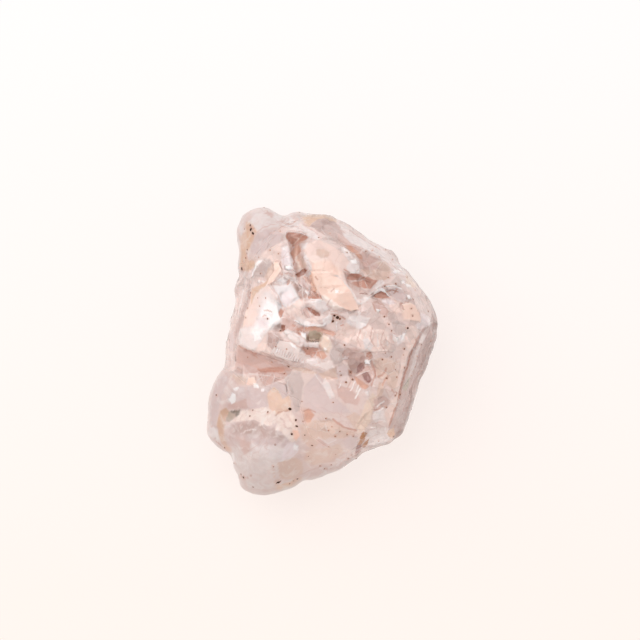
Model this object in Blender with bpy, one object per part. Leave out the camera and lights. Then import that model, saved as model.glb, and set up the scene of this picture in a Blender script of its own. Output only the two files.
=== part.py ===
"""Rough morganite crystal: one broken, etched piece of pink beryl, lying on the flat cleavage face of its back.

Frame: +Z up through the stone, +Y along its length, origin on the resting face under the middle of its outline.
The upper side is a net of flat facets stretched between ridge lines and valley lines. The lower side is cleaved
by plain facets that lean in under the outline, down to the resting face, with a few shell-shaped scars.
"""

import math

import bmesh
import bpy
from mathutils import Vector
from mathutils.geometry import delaunay_2d_cdt

MM = 0.001

# The net's walls go down this far past the resting face, in millimetres, before the lower side is cleaved.
SPARE_DEPTH = 2.0

# A blank is a cube this large, in millimetres, before it is cleaved.
BLANK = 60.0

SCAR_SUBDIVISIONS = 3
SAME_PLACE = 0.001

PINK = (0.83, 0.66, 0.61, 1.0)

# The outline, clockwise from the knob at the upper left. All points are in millimetres: to the right, along the
# stone, and up from the resting face.
OUTLINE = [
    (-5.4, 8.9, 5.2), (-4.8, 9.4, 5.1), (-4.0, 9.5, 5.1), (-3.2, 9.4, 5.2), (-2.4, 9.1, 5.5), (-1.8, 9.2, 5.5),
    (-1.2, 9.1, 5.6), (-0.1, 9.1, 5.8), (0.7, 9.0, 5.8), (2.2, 8.1, 5.9), (3.6, 7.3, 6.0), (4.8, 6.7, 5.9),
    (5.3, 5.8, 5.8), (6.2, 4.8, 5.7), (6.9, 3.9, 5.5), (7.4, 2.8, 5.3), (7.6, 1.9, 4.9), (7.5, 0.8, 4.5),
    (6.9, -1.1, 4.0), (6.0, -3.6, 3.6), (5.6, -5.3, 3.4), (5.2, -5.6, 3.4), (4.6, -6.1, 3.4), (2.9, -6.7, 3.5),
    (2.2, -7.2, 3.5), (1.1, -7.9, 3.6), (0.0, -8.2, 3.6), (-1.2, -8.5, 3.6), (-1.7, -9.0, 3.5),
    (-2.5, -9.3, 3.4), (-4.0, -9.5, 3.4), (-5.0, -9.3, 3.4), (-5.6, -8.7, 3.5), (-5.7, -8.1, 3.6),
    (-6.0, -7.9, 3.7), (-6.1, -6.9, 3.8), (-6.6, -6.6, 3.7), (-7.2, -5.9, 3.7), (-7.6, -5.1, 3.7),
    (-7.5, -4.2, 3.8), (-7.5, -3.2, 3.9), (-7.1, -2.0, 4.0), (-6.6, -1.3, 4.2), (-6.5, -0.1, 4.6),
    (-6.2, 1.6, 4.9), (-6.0, 2.6, 5.1), (-5.7, 3.5, 5.2), (-5.7, 4.5, 5.3), (-5.5, 5.4, 5.3), (-5.5, 6.7, 5.3),
    (-5.7, 7.3, 5.2), (-5.7, 7.9, 5.2),
]

# The rounded, etched forms: the knob at the upper left, the lobe along the left side, and the milky dome and toe
# at the lower left.
ETCHED_LINES = {
    "knob_shoulder": [(-5.0, 6.2, 7.2), (-5.2, 7.1, 6.8), (-5.4, 7.9, 6.7), (-5.0, 8.7, 6.8), (-4.5, 9.1, 6.7),
        (-3.8, 9.2, 6.8), (-3.1, 8.9, 7.2), (-2.5, 8.3, 8.2)],
    "knob_crown": [(-4.6, 5.9, 7.7), (-4.8, 6.9, 7.5), (-4.8, 7.7, 7.7), (-4.4, 8.3, 8.0), (-3.8, 8.5, 8.1),
        (-3.4, 8.1, 8.3), (-3.7, 7.4, 8.2)],
    "knob_neck": [(-2.5, 8.3, 8.2), (-2.1, 8.8, 7.3), (-1.4, 8.6, 8.3)],
    "left_side": [(-5.0, 6.2, 7.2), (-4.8, 4.5, 7.4), (-5.2, 3.0, 7.2), (-5.6, 1.5, 7.0), (-5.9, 0.1, 6.3),
        (-6.0, -1.0, 6.0)],
    "left_lobe_shoulder": [(-6.0, -1.0, 6.0), (-6.3, -1.6, 5.8), (-6.8, -2.3, 5.6), (-7.1, -3.3, 5.5),
        (-7.1, -4.3, 5.4), (-7.2, -5.2, 5.2), (-6.8, -5.9, 5.2), (-6.2, -6.4, 5.4), (-5.7, -7.0, 6.1)],
    "left_lobe_crest": [(-5.9, -1.5, 6.5), (-6.4, -2.6, 6.4), (-6.6, -3.6, 6.3), (-6.7, -4.6, 6.1),
        (-6.6, -5.4, 5.9), (-6.2, -6.4, 5.4)],
    "left_lobe_valley": [(-5.8, -2.7, 6.3), (-6.0, -3.5, 5.6), (-6.2, -4.1, 5.0), (-6.0, -4.9, 5.5),
        (-5.8, -5.9, 6.1)],
    "lavender_fold": [(-5.8, -2.7, 6.3), (-4.8, -2.3, 7.3), (-3.6, -2.5, 8.1), (-2.4, -2.7, 8.7),
        (-1.3, -2.7, 9.1)],
    "veil_brow": [(-5.6, -3.6, 5.9), (-4.6, -3.5, 6.9), (-3.6, -3.2, 7.7), (-2.9, -3.5, 8.0), (-2.1, -3.7, 8.4),
        (-1.0, -3.7, 8.7)],
    "veil_groove": [(-6.2, -4.1, 5.0), (-5.4, -4.1, 5.8), (-4.5, -4.2, 6.6), (-3.4, -4.1, 7.3),
        (-2.6, -4.6, 7.5), (-1.8, -5.1, 7.6)],
    "dome_lip": [(-6.0, -4.9, 5.5), (-5.2, -4.7, 6.9), (-4.1, -4.9, 7.7), (-3.2, -5.3, 8.2), (-2.4, -5.8, 8.2),
        (-1.4, -5.9, 7.4)],
    "dome_crown": [(-5.8, -5.9, 6.1), (-5.0, -5.8, 7.3), (-4.0, -6.2, 8.0), (-2.9, -6.6, 7.8),
        (-2.0, -6.7, 7.3), (-0.6, -6.9, 6.8)],
    "dome_belly": [(-5.7, -7.0, 6.1), (-4.8, -7.3, 7.2), (-3.6, -7.6, 7.3), (-2.5, -7.7, 6.8),
        (-1.2, -7.9, 5.3)],
    "toe_crown": [(-5.2, -8.1, 5.9), (-4.4, -8.5, 6.3), (-3.4, -8.6, 6.1), (-2.5, -8.5, 5.6),
        (-1.7, -8.3, 5.0)],
    "toe_shoulder": [(-5.7, -7.0, 6.1), (-5.2, -8.1, 5.9), (-5.2, -8.7, 5.2), (-4.6, -9.1, 5.0),
        (-3.9, -9.2, 5.0), (-3.0, -9.1, 4.9), (-2.1, -8.8, 4.7)],
    "low_rolls": [(-1.4, -5.9, 7.4), (-0.6, -6.9, 6.8), (0.6, -6.6, 6.9), (1.6, -6.3, 6.8)],
    "bottom_band": [(4.6, -5.7, 5.7), (3.4, -6.1, 6.3), (2.0, -6.7, 5.8), (0.7, -7.3, 5.5), (-0.2, -7.6, 5.5),
        (-1.2, -7.9, 5.3)],
}

# The cleaved forms: the band round the right side, the plateau with the peach facet, the bright facets at the
# left, the long ledge, and the large facet below it.
CLEAVED_LINES = {
    "rim_band": [(-3.7, 7.4, 8.2), (-3.3, 7.7, 8.5), (-2.5, 8.3, 8.2), (-1.4, 8.6, 8.3), (-0.4, 8.3, 8.7),
        (0.9, 7.6, 9.1), (2.4, 6.9, 9.3), (3.8, 6.1, 9.3), (4.9, 5.1, 9.2), (5.8, 4.1, 8.9), (6.4, 3.1, 8.6),
        (7.1, 1.9, 7.6)],
    "prism_edge": [(7.1, 1.9, 7.6), (6.6, 1.0, 8.3), (6.1, -0.1, 8.6), (5.6, -1.6, 8.5), (5.2, -3.1, 8.2),
        (4.8, -4.3, 7.7), (4.4, -5.3, 7.0), (4.6, -5.7, 5.7)],
    "band_groove": [(1.1, 7.2, 9.0), (2.0, 6.7, 8.9), (3.0, 5.7, 8.9), (3.9, 4.9, 9.2)],
    "plateau_edge": [(-0.9, 7.3, 10.2), (0.0, 7.4, 10.3), (1.1, 6.9, 10.4), (1.9, 6.5, 10.1), (2.4, 5.9, 10.0),
        (2.6, 5.4, 10.2), (2.1, 5.1, 10.5), (1.4, 5.3, 11.0), (1.1, 5.4, 11.2), (0.0, 5.3, 11.1),
        (-0.8, 5.2, 10.8)],
    "plateau_top": [(-0.8, 6.3, 10.6), (0.2, 6.4, 11.0), (1.2, 5.9, 11.0)],
    "peach_facet": [(-0.8, 5.2, 10.8), (-0.3, 3.5, 10.8), (0.6, 3.3, 11.2), (1.9, 2.7, 11.2), (2.6, 3.1, 11.3),
        (1.8, 4.2, 11.7), (1.1, 5.4, 11.2)],
    "grey_facet": [(-4.6, 5.9, 7.7), (-4.0, 6.7, 8.4), (-3.3, 7.7, 8.5), (-2.7, 7.8, 8.9), (-2.6, 7.3, 9.4),
        (-3.3, 6.5, 9.3), (-3.9, 6.1, 9.0), (-4.2, 5.7, 9.0)],
    "grey_crystal": [(-4.6, 4.9, 8.4), (-4.2, 5.7, 9.0), (-3.6, 5.9, 9.6), (-3.2, 5.6, 10.0), (-3.7, 4.7, 9.6),
        (-4.2, 4.7, 8.9)],
    "white_patch": [(-2.7, 5.9, 10.0), (-2.5, 6.8, 9.8), (-2.4, 5.4, 10.5), (-3.0, 5.3, 10.0)],
    "peach_ridge": [(-3.7, 4.7, 9.6), (-4.1, 3.9, 9.4), (-4.6, 2.6, 8.9), (-5.1, 1.4, 8.3), (-5.4, 0.5, 8.1)],
    "bright_facet": [(-3.6, 4.3, 10.2), (-3.0, 3.4, 10.5), (-2.7, 2.2, 10.5), (-3.4, 1.6, 10.2),
        (-4.0, 1.3, 9.5), (-4.6, 0.1, 8.8)],
    "white_facet": [(-3.6, 4.3, 10.2), (-2.6, 4.6, 10.5), (-2.0, 4.1, 10.7), (-1.5, 3.5, 11.0),
        (-2.4, 3.0, 10.7), (-3.0, 3.4, 10.5)],
    "ledge_lip": [(-5.4, 0.5, 8.1), (-4.6, 0.1, 8.8), (-4.0, 0.0, 9.3), (-3.4, -0.2, 9.8), (-2.5, -0.5, 10.1),
        (-1.6, -0.7, 10.3), (-0.6, -1.0, 10.3), (0.2, -1.3, 10.2), (1.0, -1.5, 10.1), (1.6, -1.3, 10.1)],
    "ledge_foot": [(-5.6, 0.1, 6.9), (-4.6, -0.3, 7.4), (-3.8, -0.4, 7.8), (-3.2, -0.6, 8.3), (-2.4, -0.9, 8.8),
        (-1.5, -1.1, 9.2), (-0.6, -1.3, 9.4), (0.2, -1.6, 9.5), (1.1, -1.8, 9.6)],
    "hollow_floor": [(-5.4, -0.7, 6.6), (-4.4, -1.0, 7.1), (-3.3, -1.1, 7.8), (-2.4, -1.3, 8.6)],
    "hollow_brow": [(-5.9, -1.5, 6.5), (-4.8, -1.5, 7.5), (-3.6, -1.6, 8.3), (-2.3, -1.7, 8.9),
        (-1.4, -1.8, 9.3)],
    "shelf_lip": [(-2.7, 2.2, 10.5), (-1.7, 2.0, 11.1), (-0.8, 1.7, 11.3), (0.0, 1.9, 11.3), (0.6, 2.3, 11.2)],
    "shelf_back": [(-2.4, 3.0, 10.7), (-1.2, 3.2, 11.0), (-0.1, 3.3, 11.1), (0.8, 3.0, 11.2)],
    "ledge_blocks": [(-4.0, 1.3, 9.5), (-3.2, 1.2, 10.2), (-3.3, 0.4, 10.1), (-2.3, 0.1, 10.4),
        (-1.5, -0.1, 10.6), (-1.2, 0.5, 10.7), (-1.6, 1.2, 10.8)],
    "cream_block": [(0.0, 1.1, 10.9), (0.8, 0.3, 10.9), (0.6, -0.2, 10.7), (0.0, 0.3, 10.7), (0.0, 0.6, 10.7)],
    "centre_blocks": [(1.6, 2.2, 11.1), (2.6, 1.7, 11.1), (2.3, 0.7, 10.9), (1.6, 0.5, 10.8), (2.0, -0.1, 10.5),
        (3.0, -0.1, 10.3), (3.6, 0.6, 10.6), (2.6, 1.7, 11.1), (3.8, 2.1, 10.9), (5.0, 1.4, 10.2),
        (4.3, 0.3, 10.1), (3.0, -0.1, 10.3)],
    "right_facets": [(2.6, 3.1, 11.3), (3.5, 3.2, 11.0), (4.4, 2.9, 10.6), (3.8, 2.1, 10.9), (4.4, 2.9, 10.6),
        (5.2, 3.1, 10.0), (5.6, 3.9, 9.3)],
    "peach_corner": [(5.2, 3.1, 10.0), (6.2, 3.2, 9.1), (6.6, 2.4, 8.6), (6.2, 1.9, 9.0), (5.4, 2.0, 9.6),
        (5.2, 3.1, 10.0)],
    "corner_foot": [(5.4, 2.0, 9.6), (5.0, 1.4, 10.2), (5.6, 0.5, 9.4), (6.2, 1.9, 9.0)],
    "right_lower": [(3.0, -0.1, 10.3), (4.2, -0.5, 9.9), (5.1, -0.7, 9.2), (4.2, -0.5, 9.9), (4.2, -1.7, 9.6),
        (4.9, -2.5, 9.0), (4.2, -1.7, 9.6), (3.7, -2.7, 9.3), (3.0, -3.9, 8.8), (2.3, -5.3, 8.0),
        (2.0, -6.0, 7.0)],
    "right_steps": [(3.7, -2.7, 9.3), (4.4, -3.1, 8.9), (4.2, -3.9, 8.5), (3.3, -4.1, 8.5), (3.1, -4.9, 8.1),
        (3.9, -4.9, 7.7), (4.2, -3.9, 8.5)],
    "centre_facet": [(-1.4, -1.8, 9.3), (-1.3, -2.7, 9.1), (-1.0, -3.7, 8.7), (0.0, -4.1, 8.6),
        (1.1, -4.7, 8.5), (2.1, -5.3, 8.1), (2.6, -3.8, 9.0), (2.4, -2.9, 9.5), (1.6, -2.5, 9.8),
        (1.1, -1.8, 9.6)],
    "zigzag_step": [(-0.2, -1.8, 9.5), (0.2, -2.3, 9.4), (0.8, -1.9, 9.8), (1.3, -2.8, 9.4)],
    "lower_folds": [(-1.0, -3.7, 8.7), (-0.8, -4.7, 8.2), (-0.1, -5.7, 7.5), (1.1, -5.7, 7.5),
        (2.0, -6.0, 7.0)],
}

# Clefts and pits, with the lips that stand beside them.
CLEFT_LINES = {
    "top_cleft_north_lip": [(-2.4, 7.9, 9.4), (-1.6, 7.9, 9.4), (-0.8, 7.6, 9.9), (-0.9, 7.3, 10.2)],
    "top_cleft_west_lip": [(-2.4, 7.9, 9.4), (-2.2, 7.0, 9.9), (-2.1, 6.2, 10.3), (-1.8, 5.5, 10.5),
        (-1.4, 4.5, 10.7), (-0.8, 3.7, 10.8)],
    "top_cleft_east_lip": [(-1.2, 6.9, 10.3), (-1.2, 5.9, 10.6), (-1.0, 5.3, 10.7)],
    "top_cleft_floor": [(-2.2, 7.7, 9.0), (-1.6, 7.4, 8.7), (-1.1, 7.5, 9.4), (-1.8, 6.7, 9.0),
        (-1.6, 5.9, 9.3), (-1.4, 5.1, 9.4), (-0.9, 4.3, 9.8), (-0.5, 3.8, 9.8)],
    "long_cleft_floor": [(-2.6, 1.7, 9.4), (-1.8, 1.5, 9.8), (-1.0, 1.3, 9.8), (-0.2, 1.3, 9.6),
        (0.6, 1.3, 10.0), (1.4, 1.1, 10.4)],
    "long_cleft_south_lip": [(-3.2, 1.2, 10.2), (-2.4, 1.3, 10.6), (-1.6, 1.2, 10.8), (-1.0, 1.0, 10.7),
        (-1.0, 0.6, 10.7), (0.0, 0.6, 10.7), (0.0, 1.1, 10.9), (0.8, 0.9, 11.0), (1.6, 0.5, 10.8)],
    "green_pit": [(-0.8, 1.0, 9.4), (-0.2, 1.0, 9.4), (-0.2, 0.7, 9.6), (-0.8, 0.7, 9.6), (-0.8, 1.0, 9.4)],
    "amber_pit": [(-1.0, 0.2, 9.9), (-0.2, 0.1, 9.8), (-0.5, -0.3, 9.8)],
    "shelf_pit": [(-0.8, 2.8, 10.4), (-0.2, 2.4, 10.4)],
    "grain_pit": [(0.9, 2.2, 10.4), (1.1, 2.5, 10.5), (1.4, 2.1, 10.5), (1.0, 1.8, 10.4)],
    "red_cleft_floor": [(1.8, 4.9, 9.5), (2.4, 4.5, 9.3), (3.0, 4.3, 9.3), (3.5, 4.7, 9.5), (2.8, 4.9, 9.8)],
    "red_cleft_lip": [(2.4, 3.9, 10.8), (3.1, 3.7, 10.6), (3.8, 4.3, 10.4), (4.4, 4.5, 10.0)],
    "small_cleft_floor": [(3.8, 3.7, 9.6), (4.3, 3.5, 9.4), (4.7, 3.7, 9.6)],
    "sparkle_pit_lip": [(1.9, -0.5, 10.2), (2.8, -0.4, 10.0), (3.5, -0.9, 9.8), (3.6, -1.9, 9.4),
        (2.7, -2.2, 9.5), (1.9, -1.4, 10.0)],
    "sparkle_pit_floor": [(2.6, -0.9, 9.1), (3.1, -1.4, 8.7), (3.0, -1.9, 8.9)],
}

# Facets of the lower side: azimuth and tilt of the outward normal, in degrees, then how far the facet stays
# inside the outline at the height given last, in millimetres. Tilt -90 would face straight down.
UNDER_FACETS = {
    "right": (8, -30, 0.0, 4.0),
    "right_shoulder": (30, -25, 0.0, 4.5),
    "upper_right": (47, -34, 0.0, 4.7),
    "top_right": (67, -43, 0.25, 4.0),
    "top": (84, -35, 0.0, 4.6),
    "top_left": (107, -41, 0.0, 4.5),
    "knob": (127, -47, 0.0, 4.4),
    "upper_left": (147, -36, 0.15, 4.1),
    "left": (164, -33, 0.0, 3.9),
    "left_lobe": (197, -36, 0.0, 3.2),
    "lower_left": (222, -44, 0.2, 2.9),
    "toe": (246, -40, 0.0, 2.9),
    "toe_right": (267, -45, 0.2, 2.6),
    "bottom": (288, -33, 0.0, 2.9),
    "lower_right": (316, -29, 0.0, 2.8),
    "prism_face": (341, -21, 0.0, 3.0),
    "keel_right": (18, -59, 1.8, 1.3),
    "keel_upper_right": (54, -53, 1.5, 1.7),
    "keel_top": (101, -60, 2.6, 1.3),
    "keel_upper_left": (139, -54, 2.4, 1.8),
    "keel_left": (184, -57, 1.2, 1.5),
    "keel_lower_left": (233, -61, 1.8, 1.3),
    "keel_bottom": (277, -55, 1.2, 1.5),
    "keel_lower_right": (322, -59, 1.1, 1.2),
}

# Shell-shaped scars in the lower sides: azimuth and tilt of the way out of the scar's deepest point, the reach
# and height of that point, and the radius of the ball that hollows it.
SCARS = {
    "scar_top": (74, -25, 6.8, 2.3, 4.4),
    "scar_left": (181, -28, 5.7, 2.2, 3.8),
    "scar_right": (352, -22, 5.9, 1.7, 5.2),
    "scar_bottom": (262, -36, 7.2, 1.5, 4.2),
}


def clear_scene():
    """Removes every object the file opened with."""
    for obj in list(bpy.data.objects):
        bpy.data.objects.remove(obj)


def new_object(name, mesh_builder):
    """Makes an object of what is in mesh_builder, in metres, and frees it."""
    bmesh.ops.scale(mesh_builder, verts=mesh_builder.verts, vec=(MM, MM, MM))
    mesh = bpy.data.meshes.new(name)
    mesh_builder.to_mesh(mesh)
    mesh_builder.free()
    obj = bpy.data.objects.new(name, mesh)
    bpy.context.scene.collection.objects.link(obj)
    return obj


def net_of_lines():
    """Distinct points of the outline and of all lines, and the edges along them, outline first."""
    points = list(dict.fromkeys(OUTLINE))
    edges = list(zip(points, points[1:] + points[:1]))
    for lines in (ETCHED_LINES, CLEAVED_LINES, CLEFT_LINES):
        for line in lines.values():
            edges += zip(line, line[1:])
    points = list(dict.fromkeys(points + [point for edge in edges for point in edge]))
    place = {point: index for index, point in enumerate(points)}
    return points, [(place[start], place[end]) for start, end in edges]


def facet_net():
    """Splits the plan inside the outline into triangles that keep every line as an edge, then lifts them."""
    points, edges = net_of_lines()
    plan = [Vector(point[:2]) for point in points]
    counter_clockwise = list(range(len(OUTLINE)))[::-1]
    corners, _, triangles, sources, _, _ = delaunay_2d_cdt(
        plan, edges, [counter_clockwise], 1, SAME_PLACE
    )
    heights = [points[source[0]][2] for source in sources]
    return [(corner.x, corner.y, height) for corner, height in zip(corners, heights)], triangles


def stone_above():
    """The net with walls straight down from the outline, closed by a flat floor."""
    corners, triangles = facet_net()
    stone = bmesh.new()
    verts = [stone.verts.new(corner) for corner in corners]
    for triangle in triangles:
        stone.faces.new([verts[index] for index in triangle])
    rim = [edge for edge in stone.edges if edge.is_boundary]
    walls = bmesh.ops.extrude_edge_only(stone, edges=rim)["geom"]
    for vert in walls:
        if isinstance(vert, bmesh.types.BMVert):
            vert.co.z = -SPARE_DEPTH
    floor_edges = [edge for edge in stone.edges if edge.is_boundary]
    bmesh.ops.contextual_create(stone, geom=floor_edges)
    bmesh.ops.recalc_face_normals(stone, faces=stone.faces)
    return new_object("morganite_crystal", stone)


def outline_reach(around):
    """How far the outline goes from the upright axis towards the angle around."""
    return max(x * math.cos(around) + y * math.sin(around) for x, y, _ in OUTLINE)


def cleave(block, point, normal):
    """Splits off what lies beyond the plane, and closes the cut."""
    everything = list(block.verts) + list(block.edges) + list(block.faces)
    cut = bmesh.ops.bisect_plane(block, geom=everything, plane_co=point, plane_no=normal, clear_outer=True)
    rim = [item for item in cut["geom_cut"] if isinstance(item, bmesh.types.BMEdge)]
    if rim:
        bmesh.ops.contextual_create(block, geom=rim)


def leaning(azimuth, tilt):
    """Level direction of the azimuth, and the outward normal tilted up from it."""
    around, up = math.radians(azimuth), math.radians(tilt)
    outward = Vector((math.cos(around), math.sin(around), 0))
    return outward, outward * math.cos(up) + Vector((0, 0, math.sin(up)))


def stone_below():
    """A blank cleaved along the resting face and each lower facet, open to the sky."""
    block = bmesh.new()
    bmesh.ops.create_cube(block, size=BLANK)
    cleave(block, Vector((0, 0, 0)), Vector((0, 0, -1)))
    for azimuth, tilt, inset, height in UNDER_FACETS.values():
        outward, normal = leaning(azimuth, tilt)
        reach = outline_reach(math.radians(azimuth)) - inset
        cleave(block, outward * reach + Vector((0, 0, height)), normal)
    return new_object("lower_facets", block)


def scar(name, azimuth, tilt, reach, height, radius):
    """A faceted ball whose surface touches the scar's deepest point from outside."""
    outward, normal = leaning(azimuth, tilt)
    ball = bmesh.new()
    bmesh.ops.create_icosphere(ball, subdivisions=SCAR_SUBDIVISIONS, radius=radius)
    middle = outward * reach + Vector((0, 0, height)) + normal * radius
    bmesh.ops.translate(ball, verts=ball.verts, vec=middle)
    return new_object(name, ball)


def combine(stone, operation, tool):
    """Adds a Boolean of the stone with a tool, which is not part of the stone itself."""
    tool.hide_render = True
    tool.display_type = "WIRE"
    boolean = stone.modifiers.new(tool.name, "BOOLEAN")
    boolean.operation = operation
    boolean.object = tool
    boolean.solver = "EXACT"


def crystal_material():
    """Pale pink, translucent, glassy where it is cleaved."""
    material = bpy.data.materials.new("morganite")
    material.use_nodes = True
    shader = material.node_tree.nodes["Principled BSDF"]
    shader.inputs["Base Color"].default_value = PINK
    shader.inputs["Roughness"].default_value = 0.2
    shader.inputs["Metallic"].default_value = 0.0
    shader.inputs["IOR"].default_value = 1.58
    return material


def main():
    clear_scene()
    stone = stone_above()
    combine(stone, "INTERSECT", stone_below())
    for name, sizes in SCARS.items():
        combine(stone, "DIFFERENCE", scar(name, *sizes))
    stone.data.materials.append(crystal_material())


main()
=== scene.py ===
"""Rough morganite crystal, seen from straight above as it lies on the flat face of its back.

The stone is one closed surface, worked out from the heights of the CAD solid's upper and lower sides. Facets,
steps, chips and grain are laid over it, and its stains are painted into masks that the material reads, along with
some painted highlights, painted shade and painted light along the rim. Lengths are in millimetres until the mesh
is made. Places on the stone are given as pixels of the photograph.
"""

import math

import bpy
import numpy as np
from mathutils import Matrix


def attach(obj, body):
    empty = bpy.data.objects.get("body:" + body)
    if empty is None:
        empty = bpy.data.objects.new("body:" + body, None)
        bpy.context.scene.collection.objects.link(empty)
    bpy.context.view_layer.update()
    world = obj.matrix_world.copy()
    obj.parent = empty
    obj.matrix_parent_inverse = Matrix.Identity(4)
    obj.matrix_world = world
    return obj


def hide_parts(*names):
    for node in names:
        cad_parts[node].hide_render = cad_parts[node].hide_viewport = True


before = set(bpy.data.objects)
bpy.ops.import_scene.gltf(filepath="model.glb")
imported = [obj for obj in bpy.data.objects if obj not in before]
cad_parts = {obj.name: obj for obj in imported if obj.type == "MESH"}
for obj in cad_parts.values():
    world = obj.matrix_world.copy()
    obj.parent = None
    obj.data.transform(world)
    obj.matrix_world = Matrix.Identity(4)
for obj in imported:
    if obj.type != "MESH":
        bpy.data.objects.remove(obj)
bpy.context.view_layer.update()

MM = 0.001
SEED = 22
NEARLY_NOTHING = 1e-9

# The photograph's scale in millimetres per pixel, and the pixel that lies over the origin.
PIXEL = 0.0666
ORIGIN_PIXEL = (321.5, 351.0)
IMAGE_SIDE = 640

# The stone's plan is rastered this finely, out to these distances from the origin.
PLAN_STEP = 0.04
PLAN_REACH = (8.8, 10.8)
RASTER_SLACK = 0.002

# Quads along each edge of the cube that is blown up to the stone, how much finer the upper side's grid is, and
# the steps of the table that spreads the grid.
GRID = 128
UPPER_SHARE = 2.4
ROUND_STEPS = 720
WAY_STEPS = 400
# Points that agree to this many decimals are one.
MERGED_DIGITS = 6

# The outline on the photograph's pixels, clockwise from the knob at the upper left.
OUTLINE = [
    (236, 235), (236, 230), (240, 225), (241, 221), (243, 218), (246, 214), (250, 211), (254, 209.5), (258, 208.5),
    (264, 208.5), (270, 208.5), (272, 210.5), (275, 214), (279, 217), (285, 217.5), (290, 216), (293, 213.5),
    (296, 212.5), (300, 213.5), (302, 215), (306, 214.5), (312, 214), (318, 214.5), (325, 215), (331, 216),
    (337, 219), (342, 220.5), (346, 222.5), (351, 226), (357, 230), (362, 233), (368, 238), (373, 241.5),
    (380, 245.5), (387, 248.5), (391, 250), (395, 254), (398, 258), (399.5, 262), (401, 265.5), (405, 268),
    (409, 271), (412, 276), (416, 281), (420, 286.5), (424, 290.5), (427, 295), (430, 300), (432, 305), (434, 310),
    (436, 315), (437.5, 320), (438, 325), (437, 330), (436.5, 335), (436, 340), (434.5, 345), (433, 350),
    (431, 355), (429.5, 360), (428, 365), (426, 370), (424, 375), (421.5, 380), (419.5, 385), (418, 390),
    (416, 395), (414, 400), (413, 405), (411, 411), (409, 418), (406, 425), (404, 430), (402, 434), (399.5, 437),
    (395, 440), (392, 443), (389, 445), (384, 446), (377, 448), (370, 450.5), (364, 453), (361, 455.5), (358, 458),
    (354, 460), (349, 463), (343, 467.5), (339, 470.5), (335, 472), (330, 473.5), (325, 473.5), (320, 476),
    (316, 478), (311, 478.5), (305, 478), (302, 480), (299, 482), (294, 485.5), (288, 488.5), (280, 491), (273, 493),
    (265, 494.5), (258, 494.5), (250, 493), (244, 490), (240.5, 486.5), (239, 483), (239, 479), (240.5, 475),
    (238, 471), (234, 468), (232.5, 465), (233.5, 461), (235, 457), (233.5, 454), (229, 452.5), (224, 451),
    (219, 447.5), (215, 443), (212, 439.5), (209, 436), (207.5, 431), (207, 425), (208, 421), (209, 417),
    (208.5, 411), (208.5, 405), (209, 400), (210, 396), (211.5, 391), (213.5, 386), (216, 381), (219, 376.5),
    (222, 372), (224.5, 368.5), (224.5, 363), (225, 355), (225, 349), (225.5, 343), (227, 338), (229, 332),
    (230, 327), (230.5, 321), (232, 315), (233.5, 309), (235, 304), (235.5, 300), (235, 295), (235, 290),
    (236, 285), (237.5, 280), (239.5, 276), (238.5, 272), (237.5, 268), (238, 264), (239, 260), (240, 255),
    (240.5, 250), (240, 245), (238, 240),
]

# Areas that are etched round: the knob, and the lobe, dome and toe. The rest is cleaved.
ETCHED_AREAS = [
    [(216, 270), (252, 262), (263, 247), (275, 231), (291, 223), (308, 217), (308, 195), (216, 195)],
    [(192, 363), (230, 369), (246, 382), (270, 386), (300, 399), (305, 420), (312, 435), (330, 447), (348, 449),
        (342, 486), (291, 508), (192, 508)],
]

# Each finish's colour, and how far its patches stand above the stone round them.
FINISHES = {
    "peach": ((0.97, 0.69, 0.585), 0.03),
    "apricot": ((0.79, 0.56, 0.44), 0.04),
    "pale_peach": ((0.87, 0.67, 0.61), 0.02),
    # White is mostly painted highlights and glints where facets catch the light, with a few pale striations and edges.
    "white": ((1.0, 0.95, 0.95), 0.04),
    "blush": ((0.85, 0.74, 0.75), 0.0),
    "silver": ((0.71, 0.66, 0.665), 0.03),
    "frost": ((0.82, 0.725, 0.71), 0.04),
    "milky": ((0.78, 0.665, 0.635), 0.0),
    "lavender": ((0.68, 0.54, 0.525), 0.0),
    "grey": ((0.59, 0.475, 0.45), -0.02),
    "mauve": ((0.52, 0.365, 0.33), -0.02),
    # The prism face's own darker mauve-brown colour, deepened as painted shade where the face turns from the light.
    "smoky_shade": ((0.45, 0.30, 0.27), -0.02),
    # Darker pink painted as the shade under the ledge's overhang.
    "painted_shade": ((0.58, 0.375, 0.33), -0.02),
    "plum": ((0.33, 0.16, 0.145), -0.05),
    "rose": ((0.665, 0.46, 0.415), -0.03),
    "rust": ((0.70, 0.385, 0.285), -0.03),
    "brown": ((0.54, 0.265, 0.195), -0.05),
    "dark_brown": ((0.26, 0.075, 0.04), -0.06),
    "tan": ((0.72, 0.525, 0.445), 0.0),
    "ochre": ((0.71, 0.455, 0.315), 0.0),
    "amber": ((0.41, 0.165, 0.06), -0.04),
    "orange": ((0.98, 0.62, 0.48), 0.02),
    "olive": ((0.42, 0.34, 0.245), -0.03),
    "dark_olive": ((0.18, 0.14, 0.10), -0.04),
    "cream": ((0.81, 0.625, 0.52), 0.05),
    "veil": ((0.90, 0.75, 0.685), 0.06),
}
PLAIN_COLOURS = ((0.79, 0.61, 0.56), (0.71, 0.57, 0.545))
SMOOTH_FINISHES = ("peach", "white", "lavender", "milky")

# Steps and facets of the solid keep this much of their distance from the mean height round them, and shallow areas
# keep only a share of that. Clefts go no deeper than this below that mean height.
STEP_SHARE = 0.6
SHALLOW_SHARE = 0.35
CLEFT_DEPTH = 0.25
# The height of the wall between the two sides at the rim.
RIM_WALL = 0.15
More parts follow.
